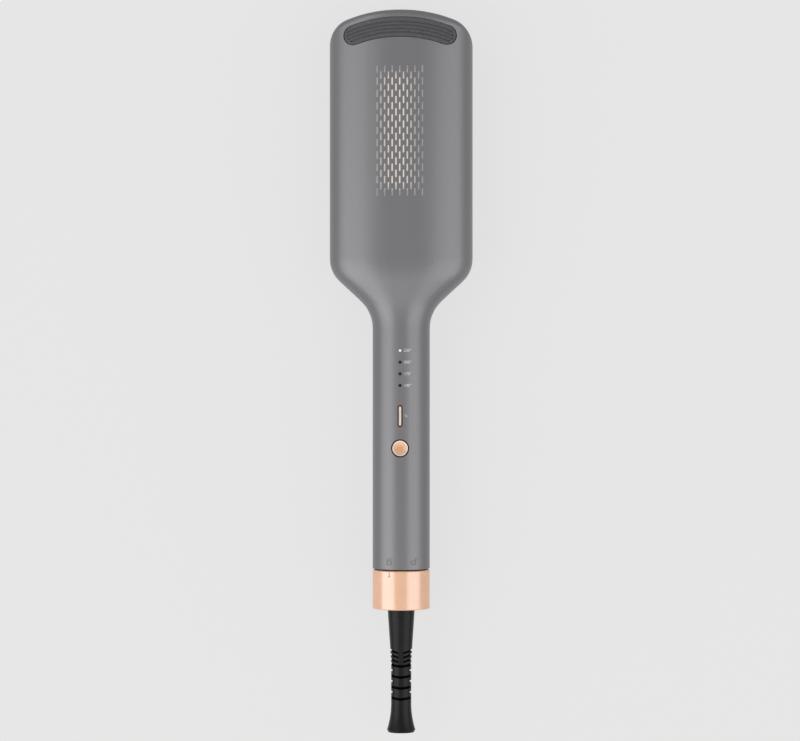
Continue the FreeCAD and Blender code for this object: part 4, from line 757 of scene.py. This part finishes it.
def float_buffers(arm):
    """Waisted silicone buffers between a plate and its arm's posts."""
    node = f"{arm}_float_pads"
    low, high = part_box(node)
    length = high.z - low.z
    post, way = (high.z, -1) if arm == "control" else (low.z, 1)
    other_half = tuple((wide, 1 - share) for wide, share in reversed(BUFFER_HALF))
    shape = bmesh.new()
    for centre, radius in rounds(node):
        profile = [(radius * wide, length * share) for wide, share in BUFFER_HALF + other_half]
        for rim in add_turned(shape, centre, post, way, profile):
            shape.faces.new(rim)
    piece = stand_for(f"{arm}_float_buffers", shape, arm, node, "pad_silicone")
    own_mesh(piece)


HEAD_DEPTH = 1.0 * MM
HEAD_CHAMFER = 0.2 * MM
SHANK_RADIUS = 1.1 * MM
CROSS_REACH = 1.3 * MM
CROSS_HALF_WIDTH = 0.32 * MM
CROSS_DEPTH = 0.7 * MM


def cross_points(centre):
    """Corners of a cross, in turn."""
    reach, width = CROSS_REACH, CROSS_HALF_WIDTH
    corners = [Vector(corner) for corner in ((reach, -width), (reach, width), (width, width))]
    turns = [Matrix.Rotation(math.radians(angle), 2) for angle in (0, 90, 180, 270)]
    return [centre + turn @ corner for turn in turns for corner in corners]


def cover_screws(arm):
    """Flat-headed screws with a cross recess, whose heads face the other arm."""
    node = f"{arm}_cover_screws"
    low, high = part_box(node)
    face, way = (low.z, 1) if arm == "control" else (high.z, -1)
    shape = bmesh.new()
    for centre, radius in rounds(node):
        head = [(radius - HEAD_CHAMFER, 0), (radius, HEAD_CHAMFER), (radius, HEAD_DEPTH)]
        shank = [(SHANK_RADIUS, HEAD_DEPTH), (SHANK_RADIUS, high.z - low.z)]
        rim, end = add_turned(shape, centre, face, way, head + shank)
        cross = cross_points(centre)
        mouth, bed = ([shape.verts.new((*point, face + way * depth)) for point in cross]
                      for depth in (0, CROSS_DEPTH))
        bridge(shape, mouth, bed)
        shape.faces.new(bed)
        shape.faces.new(end)
        edges = [shape.edges.get((loop[index - 1], loop[index]))
                 for loop in (rim, mouth) for index in range(len(loop))]
        bmesh.ops.triangle_fill(shape, edges=edges, use_beauty=True)
    stand_for(f"{arm}_cross_screws", shape, arm, node, "screw_steel")


# Studio: pale surroundings, a floor that glows evenly and softboxes round the camera

FLOOR_SIZE = 12.0
FLOOR_GAP = 0.1 * MM
FLOOR_DIFFUSE = 0.07
FLOOR_GLOW = 0.688


def add_floor():
    half = FLOOR_SIZE / 2
    corners = [(-half, -half), (half, -half), (half, half), (-half, half)]
    mesh = bpy.data.meshes.new("floor")
    mesh.from_pydata([(x, y, cad_low.z - FLOOR_GAP) for x, y in corners], [], [range(4)])
    material, _, shader = new_material("pale_floor", specular=0.0)
    shader.inputs["Base Color"].default_value = (FLOOR_DIFFUSE,) * 3 + (1.0,)
    shader.inputs["Roughness"].default_value = 1.0
    shader.inputs["Emission Color"].default_value = (FLOOR_GLOW,) * 3 + (1.0,)
    shader.inputs["Emission Strength"].default_value = 1.0
    mesh.materials.append(material)
    floor = bpy.data.objects.new("floor", mesh)
    bpy.context.scene.collection.objects.link(floor)


PALE = 0.791


def add_surroundings():
    world = bpy.data.worlds.new("surroundings")
    world.use_nodes = True
    background = world.node_tree.nodes["Background"]
    background.inputs["Color"].default_value = (PALE, PALE, PALE, 1.0)
    bpy.context.scene.world = world


SOFTBOX_DISTANCE = 1.7
SOFTBOXES = {
    "left_softbox": {"way": (-0.77, -0.37, 0.57), "size": (1.8, 2.1), "radiance": 2.0},
    "right_softbox": {"way": (0.79, -0.27, 0.57), "size": (1.8, 2.1), "radiance": 1.6},
    "near_softbox": {"way": (0.0, -0.45, 0.89), "size": (1.0, 0.6), "radiance": 1.0},
    "far_softbox": {"way": (-0.5, 0.55, 0.67), "size": (0.9, 0.7), "radiance": 1.8},
}


def add_softboxes():
    """Softboxes that face the tool's axis at the middle of the view."""
    target = Vector((0, view_middle.y, parting_height))
    for name, box in SOFTBOXES.items():
        light = bpy.data.lights.new(name, "AREA")
        light.shape = "RECTANGLE"
        light.size, light.size_y = box["size"]
        light.energy = box["radiance"] * math.pi * light.size * light.size_y
        softbox = bpy.data.objects.new(name, light)
        way = Vector(box["way"]).normalized()
        across = Vector((0, 1, 0)).cross(way).normalized()
        turn = Matrix((across, way.cross(across), way)).transposed()
        softbox.location = target + way * SOFTBOX_DISTANCE
        softbox.rotation_euler = turn.to_euler()
        softbox.visible_camera = False
        bpy.context.scene.collection.objects.link(softbox)


# The camera looks down, a little from the right; its distance is from the parting plane.
CAMERA_DISTANCE = 1.40
CAMERA_LEAN = math.radians(2.3)
SENSOR_WIDTH = 36.0


def add_camera():
    data = bpy.data.cameras.new("camera")
    data.sensor_width = SENSOR_WIDTH
    data.lens = SENSOR_WIDTH * CAMERA_DISTANCE / (PHOTO_WIDTH * PIXEL)
    camera = bpy.data.objects.new("camera", data)
    lean = Vector((math.sin(CAMERA_LEAN), 0, math.cos(CAMERA_LEAN)))
    camera.location = view_middle + lean * CAMERA_DISTANCE
    camera.rotation_euler = (0, CAMERA_LEAN, 0)
    bpy.context.scene.collection.objects.link(camera)
    bpy.context.scene.camera = camera


dress_solids()
label_prints()
power_mark()
lock_prints()
ring_tick()
for arm in ("base", "control"):
    float_buffers(arm)
    cover_screws(arm)
add_floor()
add_surroundings()
add_softboxes()
add_camera()
bpy.context.scene.view_settings.view_transform = "Standard"
